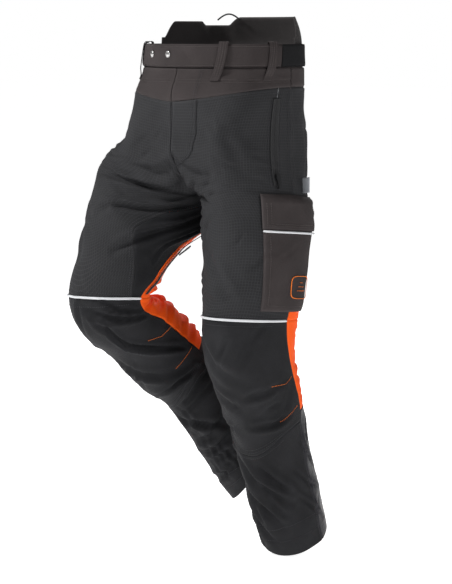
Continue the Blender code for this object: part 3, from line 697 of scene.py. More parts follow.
def look(name, colour, rough, weave=None, spread=0.18, metal=0.0, coat=0.0, bump=0.25, grid=None,
         crackle=0.0, gloss=0.12):
    """A procedural cloth or trim: woven bump, uneven colour and paler edges, in the cloth's own metres."""
    mat = bpy.data.materials.new(name)
    mat.use_nodes = True
    nodes, links = mat.node_tree.nodes, mat.node_tree.links
    shader = nodes["Principled BSDF"]
    for socket, value in (("Roughness", rough), ("Metallic", metal), ("Specular IOR Level", gloss),
                          ("Coat Weight", coat), ("Coat Roughness", 0.2)):
        shader.inputs[socket].default_value = value
    place = nodes.new("ShaderNodeUVMap")
    place.uv_map = "cloth"
    own = nodes.new("ShaderNodeTexCoord")
    join = links.new

    def noise(scale, detail, distortion=0.0):
        node = nodes.new("ShaderNodeTexNoise")
        for socket, value in (("Scale", scale), ("Detail", detail), ("Distortion", distortion)):
            node.inputs[socket].default_value = value
        join(own.outputs["Object"], node.inputs["Vector"])
        return node.outputs["Fac"]

    def tinted(factor, colour_in, tone):
        node = nodes.new("ShaderNodeMix")
        node.data_type = "RGBA"
        join(factor, node.inputs["Factor"])
        join(colour_in, node.inputs["A"])
        node.inputs["B"].default_value = (*tone, 1)
        return node.outputs["Result"]

    def sums(kind, a, b):
        node = nodes.new("ShaderNodeMath")
        node.operation = kind
        for socket, value in zip(node.inputs, (a, b)):
            if isinstance(value, (int, float)):
                socket.default_value = value
            else:
                join(value, socket)
        return node.outputs[0]

    fine = noise(420, 3)
    both = sums("ADD", sums("MULTIPLY", noise(14, 6), 0.65), sums("MULTIPLY", fine, 0.35))
    ramp = nodes.new("ShaderNodeValToRGB")
    for stop, place_on, share in zip(ramp.color_ramp.elements, (0.34, 0.66), (1 - spread, 1 + spread)):
        stop.position = place_on
        stop.color = (*[min(1, c * share) for c in colour], 1)
    join(both, ramp.inputs["Fac"])
    base = ramp.outputs["Color"]
    split = nodes.new("ShaderNodeSeparateXYZ")
    join(place.outputs["UV"], split.inputs[0])
    height = fine
    if grid:
        pitch, amount, tone = grid
        lines = []
        for axis, other in ((0, 1), (1, 0)):
            cell = sums("FRACT", sums("DIVIDE", split.outputs[axis], pitch), 0.0)
            line = sums("LESS_THAN", cell, 0.17)
            dots = sums("FRACT", sums("DIVIDE", split.outputs[other], pitch / 4), 0.0)
            lines.append(sums("MULTIPLY", line, sums("LESS_THAN", dots, 0.62)))
        mask = sums("MULTIPLY", sums("MAXIMUM", lines[0], lines[1]), amount)
        base = tinted(mask, base, tone)
        height = sums("ADD", height, mask)
    if weave:
        yarns = [sums("SINE", sums("MULTIPLY", split.outputs[axis], 2 * math.pi / weave), 0.0)
                 for axis in (0, 1)]
        height = sums("ADD", height, sums("MULTIPLY", sums("MULTIPLY", yarns[0], yarns[1]), 0.4))
    if crackle:
        height = sums("ADD", height, sums("MULTIPLY", noise(46, 5, 1.4), crackle))
    wear = nodes.new("ShaderNodeAttribute")
    wear.attribute_name = "wear"
    paler = [min(1, c * 2.0 + 0.03) for c in colour]
    join(tinted(sums("MULTIPLY", wear.outputs["Fac"], 0.28), base, paler), shader.inputs["Base Color"])
    bumps = nodes.new("ShaderNodeBump")
    bumps.inputs["Strength"].default_value = bump
    bumps.inputs["Distance"].default_value = 0.0006
    join(height, bumps.inputs["Height"])
    join(bumps.outputs["Normal"], shader.inputs["Normal"])
    LOOKS[name] = mat


look("ripstop_charcoal", (.023, .023, .0245), .80, .0011, grid=(.0056, .6, (.056, .056, .060)))
look("stretch_black", (.0155, .0155, .0172), .70, .0009, spread=.30, bump=.5)
look("canvas_brown", (.040, .0335, .0335), .85, .0012, bump=.5)
look("canvas_facing", (.040, .0365, .0365), .85, .0012, bump=.5)
look("stretch_orange", (.90, .095, .006), .70, .0009, spread=.10)
look("reflective_piping", (.62, .63, .65), .38, .0007, spread=.10, bump=.35)
look("webbing_black", (.012, .012, .013), .70, .0013, bump=.8)
look("guard_coated", (.007, .0065, .010), .40, None, coat=.03, crackle=3.4, bump=.8, gloss=.16)
look("snap_silver", (.62, .61, .60), .26, None, spread=.06, metal=1.0, bump=.08, gloss=.5)
look("zip_black", (.010, .010, .011), .42, .0009, bump=.3, gloss=.3)
look("label_grey", (.25, .26, .28), .60, .0008, spread=.06)
look("patch_orange", (.85, .20, .025), .55, .0008, spread=.08)
look("protection_fibre", (.62, .60, .52), .90, .0020, bump=.6)
look("lining_grey", (.16, .165, .175), .85, .0014, spread=.12)
look("thread_dark", (.050, .050, .055), .60, None)
look("thread_brown", (.105, .092, .088), .60, None)
look("thread_orange", (.90, .20, .03), .60, None)
look("thread_pale", (.42, .43, .45), .50, None)


# ---------------------------------------------------------------- mesh builders
def put(name, verts, faces, mat, uv=None, wear=None):
    """One object: points, faces, a map in metres and an edge-wear value for every point."""
    verts = np.asarray(verts, float).reshape(-1, 3)
    if name in frame["nodes"]:
        name += "_piece"
    mesh = bpy.data.meshes.new(name)
    mesh.from_pydata(verts.tolist(), [], faces)
    mesh.update()
    if uv is None:
        uv = np.stack([verts[:, 0] + verts[:, 1], verts[:, 2]], -1)
    uv = np.asarray(uv, float).reshape(-1, 2)
    corner = np.zeros(len(mesh.loops), int)
    mesh.loops.foreach_get("vertex_index", corner)
    mesh.uv_layers.new(name="cloth").data.foreach_set("uv", uv[corner].ravel().astype(np.float32))
    worn = np.zeros(len(verts)) if wear is None else np.asarray(wear, float).ravel()
    mesh.attributes.new("wear", "FLOAT", "POINT").data.foreach_set("value", worn.astype(np.float32))
    mesh.polygons.foreach_set("use_smooth", [True] * len(mesh.polygons))
    mesh.materials.append(LOOKS[mat])
    obj = bpy.data.objects.new(name, mesh)
    bpy.context.scene.collection.objects.link(obj)
    return obj


def quads(rows, cols, closed=False):
    """Faces of a grid of points, joined into a ring where closed."""
    span = cols if closed else cols - 1
    return [(i * cols + j, i * cols + (j + 1) % cols, (i + 1) * cols + (j + 1) % cols, (i + 1) * cols + j)
            for i in range(rows - 1) for j in range(span)]


def facing(p, n, faces):
    """Turn the faces so that they look along n."""
    a, b, c = (p.reshape(-1, 3)[[f[i] for f in faces]] for i in (0, 1, 2))
    out = np.cross(b - a, c - a)
    middle = n.reshape(-1, 3)[[f[0] for f in faces]]
    return faces if (out * middle).sum() > 0 else [tuple(reversed(f)) for f in faces]


def lengths(p):
    """Metres along and down a grid of points, from its first column and first row."""
    across = np.linalg.norm(np.diff(p, axis=1), axis=-1).cumsum(1)
    down = np.linalg.norm(np.diff(p, axis=0), axis=-1).cumsum(0)
    return np.pad(across, ((0, 0), (1, 0))), np.pad(down, ((1, 0), (0, 0)))


def cut(p):
    """Flat size and area of the cloth that a grid of points was cut from."""
    across, down = lengths(p)
    width, length = float(across[:, -1].max()), float(down[-1].max())
    area = float(np.linalg.norm(np.cross(p[1:, :-1] - p[:-1, :-1], p[:-1, 1:] - p[:-1, :-1]), axis=-1).sum())
    return {"flat": (width, length), "area": min(max(area, 0.31 * width * length), width * length)}


def spaced(total, step):
    """Fractions of a run: close together at both ends, even between."""
    fine = np.array((0.0, 0.0008, 0.0020, 0.0045)) * min(1.0, total / 0.03)
    count = max(2, round((total - 2 * fine[-1]) / step)) + 1
    x = np.concatenate([fine[:-1], np.linspace(fine[-1], total - fine[-1], count), total - fine[-2::-1]])
    return x / total


def rolled(d, deep=0.0016):
    """How far cloth turns in towards its seam at distance d from the stitching."""
    return np.interp(d, (0, 0.0008, 0.002, 0.0045, 0.009), (-deep, -deep * 0.4, 0.0002, 0.00035, 0))


MOTIONS = {}


def move(obj, key):
    """Bend a piece as MOTIONS says, or carry it whole with the body that key names."""
    kind, body = key
    if kind == "ride":
        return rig.ride(obj, body)
    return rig.blend(obj, *MOTIONS[key])


def stands_for(obj, node, mat, key, **sheet):
    """Name the CAD node that a piece replaces, its slot, its flat cloth and its motion."""
    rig.replaces(obj, node)
    if mat in SLOTS:
        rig.slot(obj, mat)
    if sheet:
        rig.sheet(obj, **sheet)
    if key:
        move(obj, key)


def ring_points(side, k):
    """Fifty points round the leg at row k."""
    u = np.arange(0, 1, 0.02)
    return form(side, np.full(50, float(k)), u)[0]


def set_motions():
    """Where the cloth starts and ends its bend at each hip, each knee and the cargo flap."""
    for side, hip_end in (("left", (0.075, 0, -0.370)), ("right", (-0.075, -0.020, -0.370))):
        MOTIONS["hip", side] = ("pelvis", "thigh_" + side, Vector((0, 0, -0.285)), Vector(hip_end))
        ring = ring_points(side, 11.0)
        middle = ring.mean(0)
        _, _, axes = np.linalg.svd(ring - middle)
        across = axes[2]
        below = np.concatenate([ring_points(side, 16.0)[:24], ring_points(side, 15.0)[24:]])
        if (below.mean(0) - middle) @ across < 0:
            across = -across
        first = ((ring - middle) @ across).max()
        last = ((below - middle) @ across).min()
        MOTIONS["knee", side] = ("thigh_" + side, "shin_" + side, Vector(middle + across * first),
                                 Vector(middle + across * max(last, first + 0.03)))
    sewn, hang = (at("left", k, 0.475)[0] for k in (7.0, 7.30))
    MOTIONS["flap", "left"] = ("thigh_left", "cargo_flap", sewn, hang)


SLOTS = {m["slot"] for m in frame["record"]["materials"]}
set_motions()


def panel(name, side, k0, k1, u0, u1, mat, key, base=0.0, low=-9.0, high=9.0, lift=None, step=0.0046,
          deep=0.0016, hem=False, groove=None):
    """One sewn cloth panel between two rows and two seam lines, its edges turned in to the stitching."""
    kk = np.linspace(k0, k1, 200)
    mid = 0.5 * (edge(u0, kk) + edge(u1, kk))
    vv = np.maximum.accumulate(depth(np.clip(kk, 0, BELOW_LAST), mid) + np.arange(200) * 1e-7)
    rows = np.interp(vv[0] + spaced(vv[-1] - vv[0], step) * (vv[-1] - vv[0]), vv, kk)
    rows[0], rows[-1] = k0, k1
    drop = np.zeros(len(rows))
    if hem:
        rows = np.concatenate([rows, (20.0, 19.95, 19.8, 19.6)])
        drop = np.concatenate([drop, (-0.0016, -0.0028, -0.0026, -0.0024)])
    lo, hi = edge(u0, rows), edge(u1, rows)
    wide = float(((hi - lo) * girth(rows)).max())
    f = spaced(wide, step)
    u = np.minimum(lo[:, None] + (hi - lo)[:, None] * f, 0.9999 if high == 1.0 else 9.0)
    k = np.repeat(rows[:, None], len(f), axis=1)
    plain, n = form(side, np.clip(k, 0, BELOW_LAST), u, low, high)
    across, down = lengths(plain)
    near = [across, across[:, -1:] - across, down]
    if not hem:
        near.append(down[-1:] - down)
    near = np.minimum.reduce(near)
    off = base + rolled(near, deep) + drop[:, None]
    if groove is not None:
        v = depth(k, u)
        off = (off - 0.0012 * np.exp(-(((v - groove) / 0.0012) ** 2))
               + 0.0006 * np.exp(-(((v - groove + .004) / 0.003) ** 2)))
    if lift is not None:
        off = off + lift(k, u)
    p = plain + n * (relief(side, k, u) + off)[..., None]
    faces = facing(p, n, quads(*k.shape))
    straight = standing(depth(np.clip(k, 0, BELOW_LAST), u), u)
    sx, sy = lengths(straight)
    middle = sx[:, sx.shape[1] // 2][:, None]
    uv = np.stack([sx - middle, -sy], -1)
    obj = put(name, p, faces, mat, uv, np.exp(-near / 0.0022))
    stands_for(obj, name, mat, key, held="hung", **cut(straight))


def around(v, a):
    """Point and normal round the waist at depth v and angle a."""
    v, a = np.broadcast_arrays(np.asarray(v, float), np.asarray(a, float))
    b = a % 2.0
    u = np.where(b > 1.0, 2.0 - b, b)
    mirror = np.where(b > 1.0, -1.0, 1.0)
    p, n = trunk_form(np.maximum(v, 0.0), u)
    p[..., 2] = -v
    p[..., 0] *= mirror
    n[..., 0] *= mirror
    return p, n


def slab(name, p, n, thick, mat, key, uv=None):
    """A closed piece from a grid of points: an outer face, an inner face and a soft rim."""
    rows, cols = p.shape[:2]
    across, down = lengths(p)
    rim = np.minimum.reduce([across, across[:, -1:] - across, down, down[-1:] - down])
    half = thick / 2 * np.interp(rim, (0, thick * 0.5, thick * 1.2), (0.35, 0.85, 1.0))[..., None]
    verts = np.concatenate([(p + n * half).reshape(-1, 3), (p - n * half).reshape(-1, 3)])
    face = facing(p, n, quads(rows, cols))
    m = rows * cols
    back = [tuple(m + i for i in reversed(f)) for f in face]
    ring = ([(0, j) for j in range(cols)] + [(i, cols - 1) for i in range(1, rows)]
            + [(rows - 1, j) for j in range(cols - 2, -1, -1)] + [(i, 0) for i in range(rows - 2, 0, -1)])
    ids = [i * cols + j for i, j in ring]
    flipped = face[0] == tuple(reversed(quads(rows, cols)[0]))
    sides = []
    for a, b in zip(ids, ids[1:] + ids[:1]):
        q = (b, a, a + m, b + m)
        sides.append(tuple(reversed(q)) if flipped else q)
    if uv is None:
        uv = np.stack([across, -down], -1)
    obj = put(name, verts, face + back + sides, mat, np.concatenate([uv.reshape(-1, 2)] * 2),
              np.concatenate([np.exp(-rim / 0.002).ravel()] * 2))
    stands_for(obj, name, mat, key)
    return obj


def loft(name, rings, mat, key):
    """A closed tube through rings of points, capped at both ends."""
    rows, cols = rings.shape[:2]
    faces = quads(rows, cols, True)
    centre = rings.mean(1, keepdims=True)
    faces = facing(rings, rings - centre, faces)
    flipped = faces[0] != quads(rows, cols, True)[0]
    first, last = list(range(cols)), list(range((rows - 1) * cols, rows * cols))
    faces += [tuple(first if flipped else first[::-1]), tuple(last[::-1] if flipped else last)]
    run = np.linalg.norm(np.diff(centre[:, 0], axis=0), axis=-1).cumsum()
    run = np.repeat(np.concatenate([[0], run])[:, None], cols, axis=1)
    way = np.linalg.norm(rings - np.roll(rings, 1, axis=1), axis=-1).cumsum(1)
    stands_for(put(name, rings, faces, mat, np.stack([run, way], -1)), name, mat, key)


def band_rings(v0, v1, a, off, thick, bulge=0.0, sag=None):
    """Rounded strap cross-sections round the waist."""
    t = np.linspace(0, 1, 12)
    prof_v = np.concatenate([v0 + (v1 - v0) * t, v1 - (v1 - v0) * t])
    crown = np.sin(math.pi * t)
    edge_soft = np.clip(np.minimum(t, 1 - t) / 0.08, 0, 1) ** 0.5
    prof_o = np.concatenate([off + thick * (0.5 + 0.5 * edge_soft) + bulge * crown,
                             (off + thick * 0.5 - thick * 0.5 * edge_soft)[::-1]])
    v, aa = np.meshgrid(prof_v, a)
    o = np.repeat(prof_o[None], len(a), axis=0)
    if sag is not None:
        v = v + sag(aa)[0]
        o = o + sag(aa)[1]
    p, n = around(v, aa)
    return p + n * o[..., None]


# ---------------------------------------------------------------- stitching
THREADS = {}


def follow(points_of, path, pitch):
    """Even places along a path: point, direction, normal."""
    path = np.array(path, float)
    t = np.linspace(0, len(path) - 1, 90 * (len(path) - 1) + 1)
    a = np.interp(t, np.arange(len(path)), path[:, 0])
    b = np.interp(t, np.arange(len(path)), path[:, 1])
    p, n = points_of(a, b)
    run = np.concatenate([[0], np.linalg.norm(np.diff(p, axis=0), axis=1).cumsum()])
    stops = np.arange(pitch / 2, run[-1], pitch)

    def read(values, shift=0.0):
        return np.stack([np.interp(stops + shift, run, values[:, i]) for i in range(3)], -1)

    at_stops, up = read(p), read(n)
    way = read(p, 0.0005) - read(p, -0.0005)
    way /= np.maximum(np.linalg.norm(way, axis=1, keepdims=True), 1e-9)
    up -= way * (up * way).sum(1, keepdims=True)
    up /= np.linalg.norm(up, axis=1, keepdims=True)
    return at_stops, way, up


def stitch(key, mat, points_of, path, pitch=0.0046, long=0.0034, radius=0.00042):
    """Lay one run of stitches, kept until sew() makes them."""
    p, way, up = follow(points_of, path, pitch)
    THREADS.setdefault((key, mat), []).append((p, way, up, long, radius))


def on_leg(side, off=0.0004, low=-9.0, high=9.0):
    return lambda k, u: surface(side, k, u, off, low, high)


def down(u, *rows):
    return [(k, u) for k in rows]


def across_row(k, *us):
    return [(k, u) for u in us]


def beside(line, shift, *rows):
    """A path down the leg, shift away from a named seam line."""
    return [(k, float(edge(line, np.array(float(k)))) + shift) for k in rows]


def on_waist(off):
    def points_of(v, a):
        p, n = around(v, a)
        return p + n * off, n
    return points_of


def sew():
    """Make the gathered stitches, one object for each thread and motion."""
    for (key, mat), runs in THREADS.items():
        verts, faces = [], []
        for p, way, up, long, radius in runs:
            across = np.cross(way, up)
            for at_p, w, n, s in zip(p, way, up, across):
                m = len(verts)
                for d in (w * long / 2, w * long / 4 + s * radius, w * long / 4 + n * radius,
                          w * long / 4 - s * radius, -w * long / 4 + s * radius, -w * long / 4 + n * radius,
                          -w * long / 4 - s * radius, -w * long / 2):
                    verts.append(at_p + d)
                faces += [(m, m + 2, m + 1), (m, m + 3, m + 2), (m, m + 1, m + 3),
                          (m + 1, m + 2, m + 5, m + 4), (m + 2, m + 3, m + 6, m + 5),
                          (m + 3, m + 1, m + 4, m + 6), (m + 7, m + 4, m + 5), (m + 7, m + 5, m + 6),
                          (m + 7, m + 6, m + 4)]
        obj = put("stitching_" + mat.split("_")[1] + "_" + "_".join(key), verts, faces, mat)
        move(obj, key)


# ---------------------------------------------------------------- waist pieces
PELVIS = ("ride", "pelvis")
# section of a belt loop, in half widths and half thicknesses, with a dip along each row of stitching
LOOP_PROFILE = ((-1, -.5), (-.97, -1), (-.5, -1), (0, -1), (.5, -1), (.97, -1), (1, -.5), (1, .5), (.97, 1),
                (.62, 1), (.5, .72), (.38, 1), (0, 1), (-.38, 1), (-.5, .72), (-.62, 1), (-.97, 1), (-1, .5))


def grid(v0, v1, rows, a0, a1, cols):
    return np.meshgrid(np.linspace(v0, v1, rows), np.linspace(a0, a1, cols), indexing="ij")


def strap_sag(a):
    """The belt hangs a little between its loops and stands off where it passes them."""
    wave = np.sin(6.3 * a + 0.6) * 0.5 + np.sin(14.1 * a + 1.9) * 0.35
    return 0.0009 * wave, 0.0005 * np.abs(wave)


def build_waist():
    a = np.linspace(0, 2, 161)[:-1]
    drops = np.array((.0005, .0012, .004, .012, .022, .033, .041, .0445, .050, .054))
    v, aa = np.meshgrid(drops, a, indexing="ij")
    p, n = around(v, aa)
    off = -0.0008 + np.interp(v, (0, .0012, .041, .0445, .054), (-.0012, 0, 0, -.0018, -.0026))
    p = p + n * off[..., None]
    faces = facing(p, n, quads(*v.shape, True))
    uv = np.stack([aa * 0.47, -v], -1)
    obj = put("waistband", p, faces, "canvas_brown", uv, np.exp(-v / .0025))
    stands_for(obj, "waistband", "canvas_brown", PELVIS, held="stretched", **cut(p))

    a = np.linspace(-0.452, 0.440, 110)
    rings = band_rings(0.0015, 0.0440, a, 0.0010, 0.0028, 0.0004, strap_sag)
    crease = np.exp(-((rings[..., 0] * 0.92 - (rings[..., 2] + 0.022) * -0.9 - 0.020) / 0.0022) ** 2)
    crease *= (rings[..., 1] < -0.1) * np.clip((np.abs(rings[..., 2] + 0.02) < 0.018), 0, 1)
    rings[..., 1] += 0.0008 * crease
    loft("belt_strap", rings, "canvas_brown", PELVIS)
    for name, a0, a1 in (("elastic_left", 0.446, 0.700), ("elastic_right", 1.300, 1.542)):
        a = np.linspace(a0, a1, 120)
        rings = band_rings(0.0010, 0.0440, a, 0.0004, 0.0022)
        rib = 0.00045 * np.sin(np.arange(len(a)) * math.pi / 1.5)[:, None, None]
        radial = rings.mean(1, keepdims=True)
        radial[..., 2] = 0
        radial /= np.linalg.norm(radial, axis=-1, keepdims=True)
        loft(name, rings + radial * rib, "webbing_black", PELVIS)

    v, a = grid(-0.030, 0.030, 22, 0.545, 1.515, 130)
    v = flap_rise(v, a)
    p, n = around(v, a)
    dip = np.exp(-((a - 1.25) / 0.035) ** 2) * np.clip(-v / 0.03, 0, 1)
    wave = 0.0020 * np.sin(9 * a + 1.0) * np.clip(-v / 0.03, 0, 1)
    p = p + n * (-0.0039 + flap_lean(v, a) - 0.006 * dip + wave)[..., None]
    flap = slab("kidney_flap", p, n, 0.0018, "canvas_facing", None)
    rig.slot(flap, "canvas_brown")
    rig.sheet(flap, held="hung", **cut(p))
    move(flap, PELVIS)
    for i, a in enumerate((-0.150, -0.045)):
        p, n = at_waist(a, 0.020, BELT_OFFSET[1] + 0.0014)
        side = n.orthogonal().normalized()
        other = n.cross(side)
        prof = ((.0001, 0), (.0064, 0), (.0066, .0004), (.0064, .0010), (.0056, .0013), (.0051, .0011),
                (.0046, .0012), (.0036, .0017), (.0020, .0021), (.0001, .0022))
        rings = np.array([[p + (side * math.cos(t) + other * math.sin(t)) * r + n * h
                           for t in np.linspace(0, 2 * math.pi, 33)[:-1]] for r, h in prof])
        loft(f"belt_snap_{i + 1}", rings, "snap_silver", PELVIS)
    for name, a, mat, half, foot, reach in (
            ("loop_front_right", -0.290, "canvas_brown", .0092, .062, .0068),
            ("loop_front_left", 0.190, "canvas_brown", .0092, .062, .0068),
            ("loop_side_left", 0.395, "canvas_brown", .0092, .062, .0068),
            ("loop_side_right", -0.400, "webbing_black", .0060, .054, .0125)):
        path = np.array(((0.012, -0.0038), (-0.0020, -0.0036), (-0.0042, 0.0), (-0.0030, reach * 0.6),
                         (0.0020, reach), (0.024, reach + 0.001), (foot - 0.014, reach),
                         (foot - 0.004, 0.003), (foot, 0.0016), (foot + 0.008, 0.0016)))
        t = np.linspace(0, 9, 64)
        line = np.stack([np.interp(t, np.arange(10), path[:, i]) for i in (0, 1)], -1)
        for _ in range(6):
            line[1:-1] = (line[:-2] + 2 * line[1:-1] + line[2:]) / 4
        rings = []
        for i, (v, off) in enumerate(line):
            c, n = at_waist(a, v, off)
            d = at_waist(a, *line[min(i + 1, 63)])[0] - at_waist(a, *line[max(i - 1, 0)])[0]
            w = n.cross(Vector((0, 0, 1))).normalized()
            up = w.cross(d).normalized()
            rings.append([c + w * half * x + up * 0.0006 * y for x, y in LOOP_PROFILE])
        loft(name, np.array(rings), mat, PELVIS)
        if mat == "canvas_brown":
            for x in (-0.0050, 0.0, 0.0050):
                def points_of(v, off, x=x):
                    c, n = around(v, np.full_like(v, a))
                    w = np.cross(n, np.array((0, 0, 1.0)))
                    w /= np.linalg.norm(w, axis=-1, keepdims=True)
                    return c + n * (off + 0.0007)[..., None] + w * x, n
                stitch(PELVIS, "thread_brown", points_of, line[18:58:4], 0.0036, 0.0026, 0.00035)

    def hanger(s):
        return at_waist(1.215 - 0.115 * s, -0.046 - 0.012 * math.sin(math.pi * s), -0.030)

    rings = []
    for s in np.linspace(0, 1, 40):
        c, n = hanger(s)
        up = n.cross(hanger(s + .01)[0] - c).normalized()
        rings.append([c + n * 0.0011 * math.cos(q) + up * 0.0016 * math.sin(q)
                      for q in np.linspace(0, 2 * math.pi, 11)[:-1]])
    loft("hanger_loop", np.array(rings), "webbing_black", PELVIS)
    on_strap = on_waist(0.0041)
    for v in (0.0045, 0.0410):
        stitch(PELVIS, "thread_brown", lambda a, b, v=v: on_strap(v + strap_sag(b)[0], b),
               ((0, -0.44), (1, 0.43)), 0.0042, 0.0030, 0.00036)


def rear_edge(a):
    b = a % 2.0
    return seam_rows(np.where(b > 1.0, 2.0 - b, b))[..., 2]


def build_trunk():
    for side in SIDES:
        panel("yoke_front_" + side, side, 1, 2, 0.0, 0.5, "canvas_brown", PELVIS, high=0.5, low=0.0,
              groove=.070)
        panel("seat_" + side, side, 2, 7, 0.5, 1.0, "ripstop_charcoal", ("hip", side), low=0.5, high=1.0)
        for v in (0.0675, 0.0725):
            stitch(PELVIS, "thread_brown", lambda a, b, v=v, side=side: around_side(side, v, b),
                   ((0, 0.02), (1, 0.49)), 0.0042, .003, .0003)
    rows = np.array((0, .0008, .002, .0045, .010, .016, .022, .028, .0325))
    a = np.linspace(0.502, 1.498, 120)
    low = rear_edge(a)[None] - 0.0003
    v = 0.0462 + (low - 0.0462) * (rows / rows[-1])[:, None]
    aa = np.repeat(a[None], len(rows), axis=0)
    p, n = around(v, aa)
    near = np.minimum(v - v[:1], v[-1:] - v)
    p = p + n * (rolled(near) - 0.0012 * np.exp(-((v - .070) / .0012) ** 2))[..., None]
    obj = put("yoke_rear", p, facing(p, n, quads(*v.shape)), "canvas_brown", np.stack([aa * .47, -v], -1),
              np.exp(-near / .0022))
    width = float(lengths(p)[0][:, -1].max())
    stands_for(obj, "yoke_rear", "canvas_brown", PELVIS, flat=(width, 0.047), held="hung",
               area=width * 0.041)

    v, a = grid(0.047, 0.142, 14, 0, 2, 121)
    v, a = v[:, :-1], a[:, :-1]
    p, n = around(v, a)
    p = p + n * (-0.0148 + 0.0012 * np.sin(14 * math.pi * a + 60 * v))[..., None]
    obj = put("trunk_lining", p, facing(p, n, quads(*v.shape, True)), "lining_grey",
              np.stack([a * .47, -v], -1))
    stands_for(obj, "trunk_lining", "lining_grey", PELVIS, flat=(0.98, 0.095), held="hung")

    jay = ((1.0, .123), (2.0, .148), (3.4, .183), (4.0, .172), (4.33, .150), (4.6, .100), (4.71, .031))
    rows = np.linspace(2.03, 4.70, 44)
    outer = np.interp(rows, *zip(*jay)) + 0.006
    k, f = np.meshgrid(rows, np.linspace(0, 1, 18), indexing="ij")
    u = 0.026 + (outer[:, None] - 0.026) * f
    p, n = surface("left", k, u, 0.0011, 0.0, 0.5)
    obj = slab("fly_placket", p, n, 0.0007, "ripstop_charcoal", None,
               uv=np.stack([(u - .25) * .5, -depth(k, u)], -1))
    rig.sheet(obj, held="hung", **cut(p))
    move(obj, PELVIS)
    for shift in (0.0, 0.011):
        path = [(k, u - shift) for k, u in jay]
        stitch(PELVIS, "thread_dark", on_leg("left", 0.0019, 0, .5), path)
    for u in (0.012, 0.021):
        stitch(PELVIS, "thread_dark", on_leg("left", 0.0012, 0, .5), ((2.05, u), (4.8, u)))
        stitch(("hip", "left"), "thread_dark", on_leg("left", 0.0012, 0, .5), ((4.9, u), (6.6, u)))
    p, n = at("left", 5.87, 0.545, 0.0008)
    across = n.cross(Vector((0, 0, 1)))
    out, up = np.array(n), np.array((0, 0, 1.0))
    x, z = np.meshgrid(np.linspace(0, .016, 7), np.linspace(-.015, .015, 11))
    bow = 0.0012 * np.sin(x / .016 * 2.6)
    pts = np.array(p) + out * x[..., None] + up * z[..., None] + np.array(across) * bow[..., None]
    slab("side_label", pts, np.broadcast_to(np.array(across), pts.shape), 0.0011, "label_grey",
         ("hip", "left"))


def around_side(side, v, b):
    """Points a little proud of the waist on one side, at angles b from the centre front."""
    p, n = around(np.full_like(b, v), b)
    if side == "right":
        p, n = p * np.array((-1, 1, 1)), n * np.array((-1, 1, 1))
    return p + n * 0.0004, n


# ---------------------------------------------------------------- leg pieces
def bead(name, side, k, u0, u1, off, radius, key, lift=None):
    """Round piping along row k."""
    u = np.linspace(u0, u1, 130)
    kk = np.full_like(u, k)
    p, n = surface(side, kk, u, off if lift is None else off + lift(kk, u))
    d = np.gradient(p, axis=0)
    d /= np.linalg.norm(d, axis=1, keepdims=True)
    w = np.cross(d, n)
    t = np.linspace(0, 2 * math.pi, 13)[:-1]
    rings = (p[:, None] + n[:, None] * radius * np.cos(t)[None, :, None]
             + w[:, None] * radius * 1.05 * np.sin(t)[None, :, None])
    rings[0] = p[0] + (rings[0] - p[0]) * 0.5
    rings[-1] = p[-1] + (rings[-1] - p[-1]) * 0.5
    loft(name, rings, "reflective_piping", key)


def zip_tape(name, side, line, shift, k0, k1, lift, key):
    """Woven tape with a coil down its middle."""
    k = np.linspace(k0, k1, 240)
    mid = edge(line, k) + shift
    x = np.array((-5.4, -5.1, -3.2, -1.7, -1.2, -.5, 0, .5, 1.2, 1.7, 3.2, 5.1, 5.4)) / 1000
    kk = np.repeat(k[:, None], len(x), axis=1)
    uu = mid[:, None] + x[None] / girth(k)[:, None]
    p, n = surface(side, kk, uu, lift)
    tooth = 0.5 + 0.5 * np.sin(np.arange(240) * math.pi * 2 / 3)
    raised = np.where(np.abs(x) < .0014, .0006, 0.0)[None] * (0.5 + tooth[:, None])
    p = p + n * raised[..., None]
    slab(name, p, n, 0.0009, "zip_black", key)


def thigh(side):
    tag, hip = "_" + side, ("hip", side)
    panel("front_thigh" + tag, side, 2, 11, "front_inner", "rear_outer", "ripstop_charcoal", hip, low=0.0)
    panel("inner_thigh" + tag, side, 7, 11, "-rear_inner", "front_inner", "stretch_black", hip)
    panel("rear_thigh" + tag, side, 7, 11, "rear_outer", "rear_inner", "stretch_orange", hip)
    pad("thigh_pad" + tag, side, 3.06, 9.94, 4.1, 8.9, 10, "front_inner", "rear_outer", hip)
    tube("thigh_lining" + tag, side, 8.0, 10.75, hip)
    bead("knee_piping" + tag, side, 11.0, -0.028, 0.488, 0.0026, PIPING_RADIUS, ("ride", "thigh_" + side))
    zip_tape("pocket_zip" + tag, side, "rear_outer", POCKET_SHIFT, 2.3, 6, 0.0018, hip)
    zip_tape("vent_zip" + tag, side, "rear_inner", VENT_SHIFT, 8, 10.8, 0.0042, hip)
    front, back = on_leg(side, .0005, 0), on_leg(side, .0005, .5, 1)
    for shift in (-0.071, -0.040):
        stitch(hip, "thread_dark", front, down(0.5 + shift, 2.1, 3, 4, 5, 6, 6.3))
    stitch(hip, "thread_pale", on_leg(side, .0007, 0), down(.446, 2.0, 3, 4, 5, 5.7), .0030, .0031, .0004)
    for shift in (0.006, 0.014):
        stitch(hip, "thread_dark", on_leg(side), beside("front_inner", shift, 7.2, 8, 9, 9.6, 10.4, 10.9))
    for shift in (-0.008, -0.016):
        stitch(hip, "thread_dark", front, down(0.5 + shift, 2.1, 4, 6, 7))
        stitch(hip, "thread_dark", back, down(1.0 + shift, 2.1, 4, 6, 6.8))
    stitch(hip, "thread_dark", front, across_row(2.09, .03, .12, .2, .3, .4, .48))
    stitch(hip, "thread_dark", front, across_row(10.9, .03, .12, .2, .3, .4, .45))


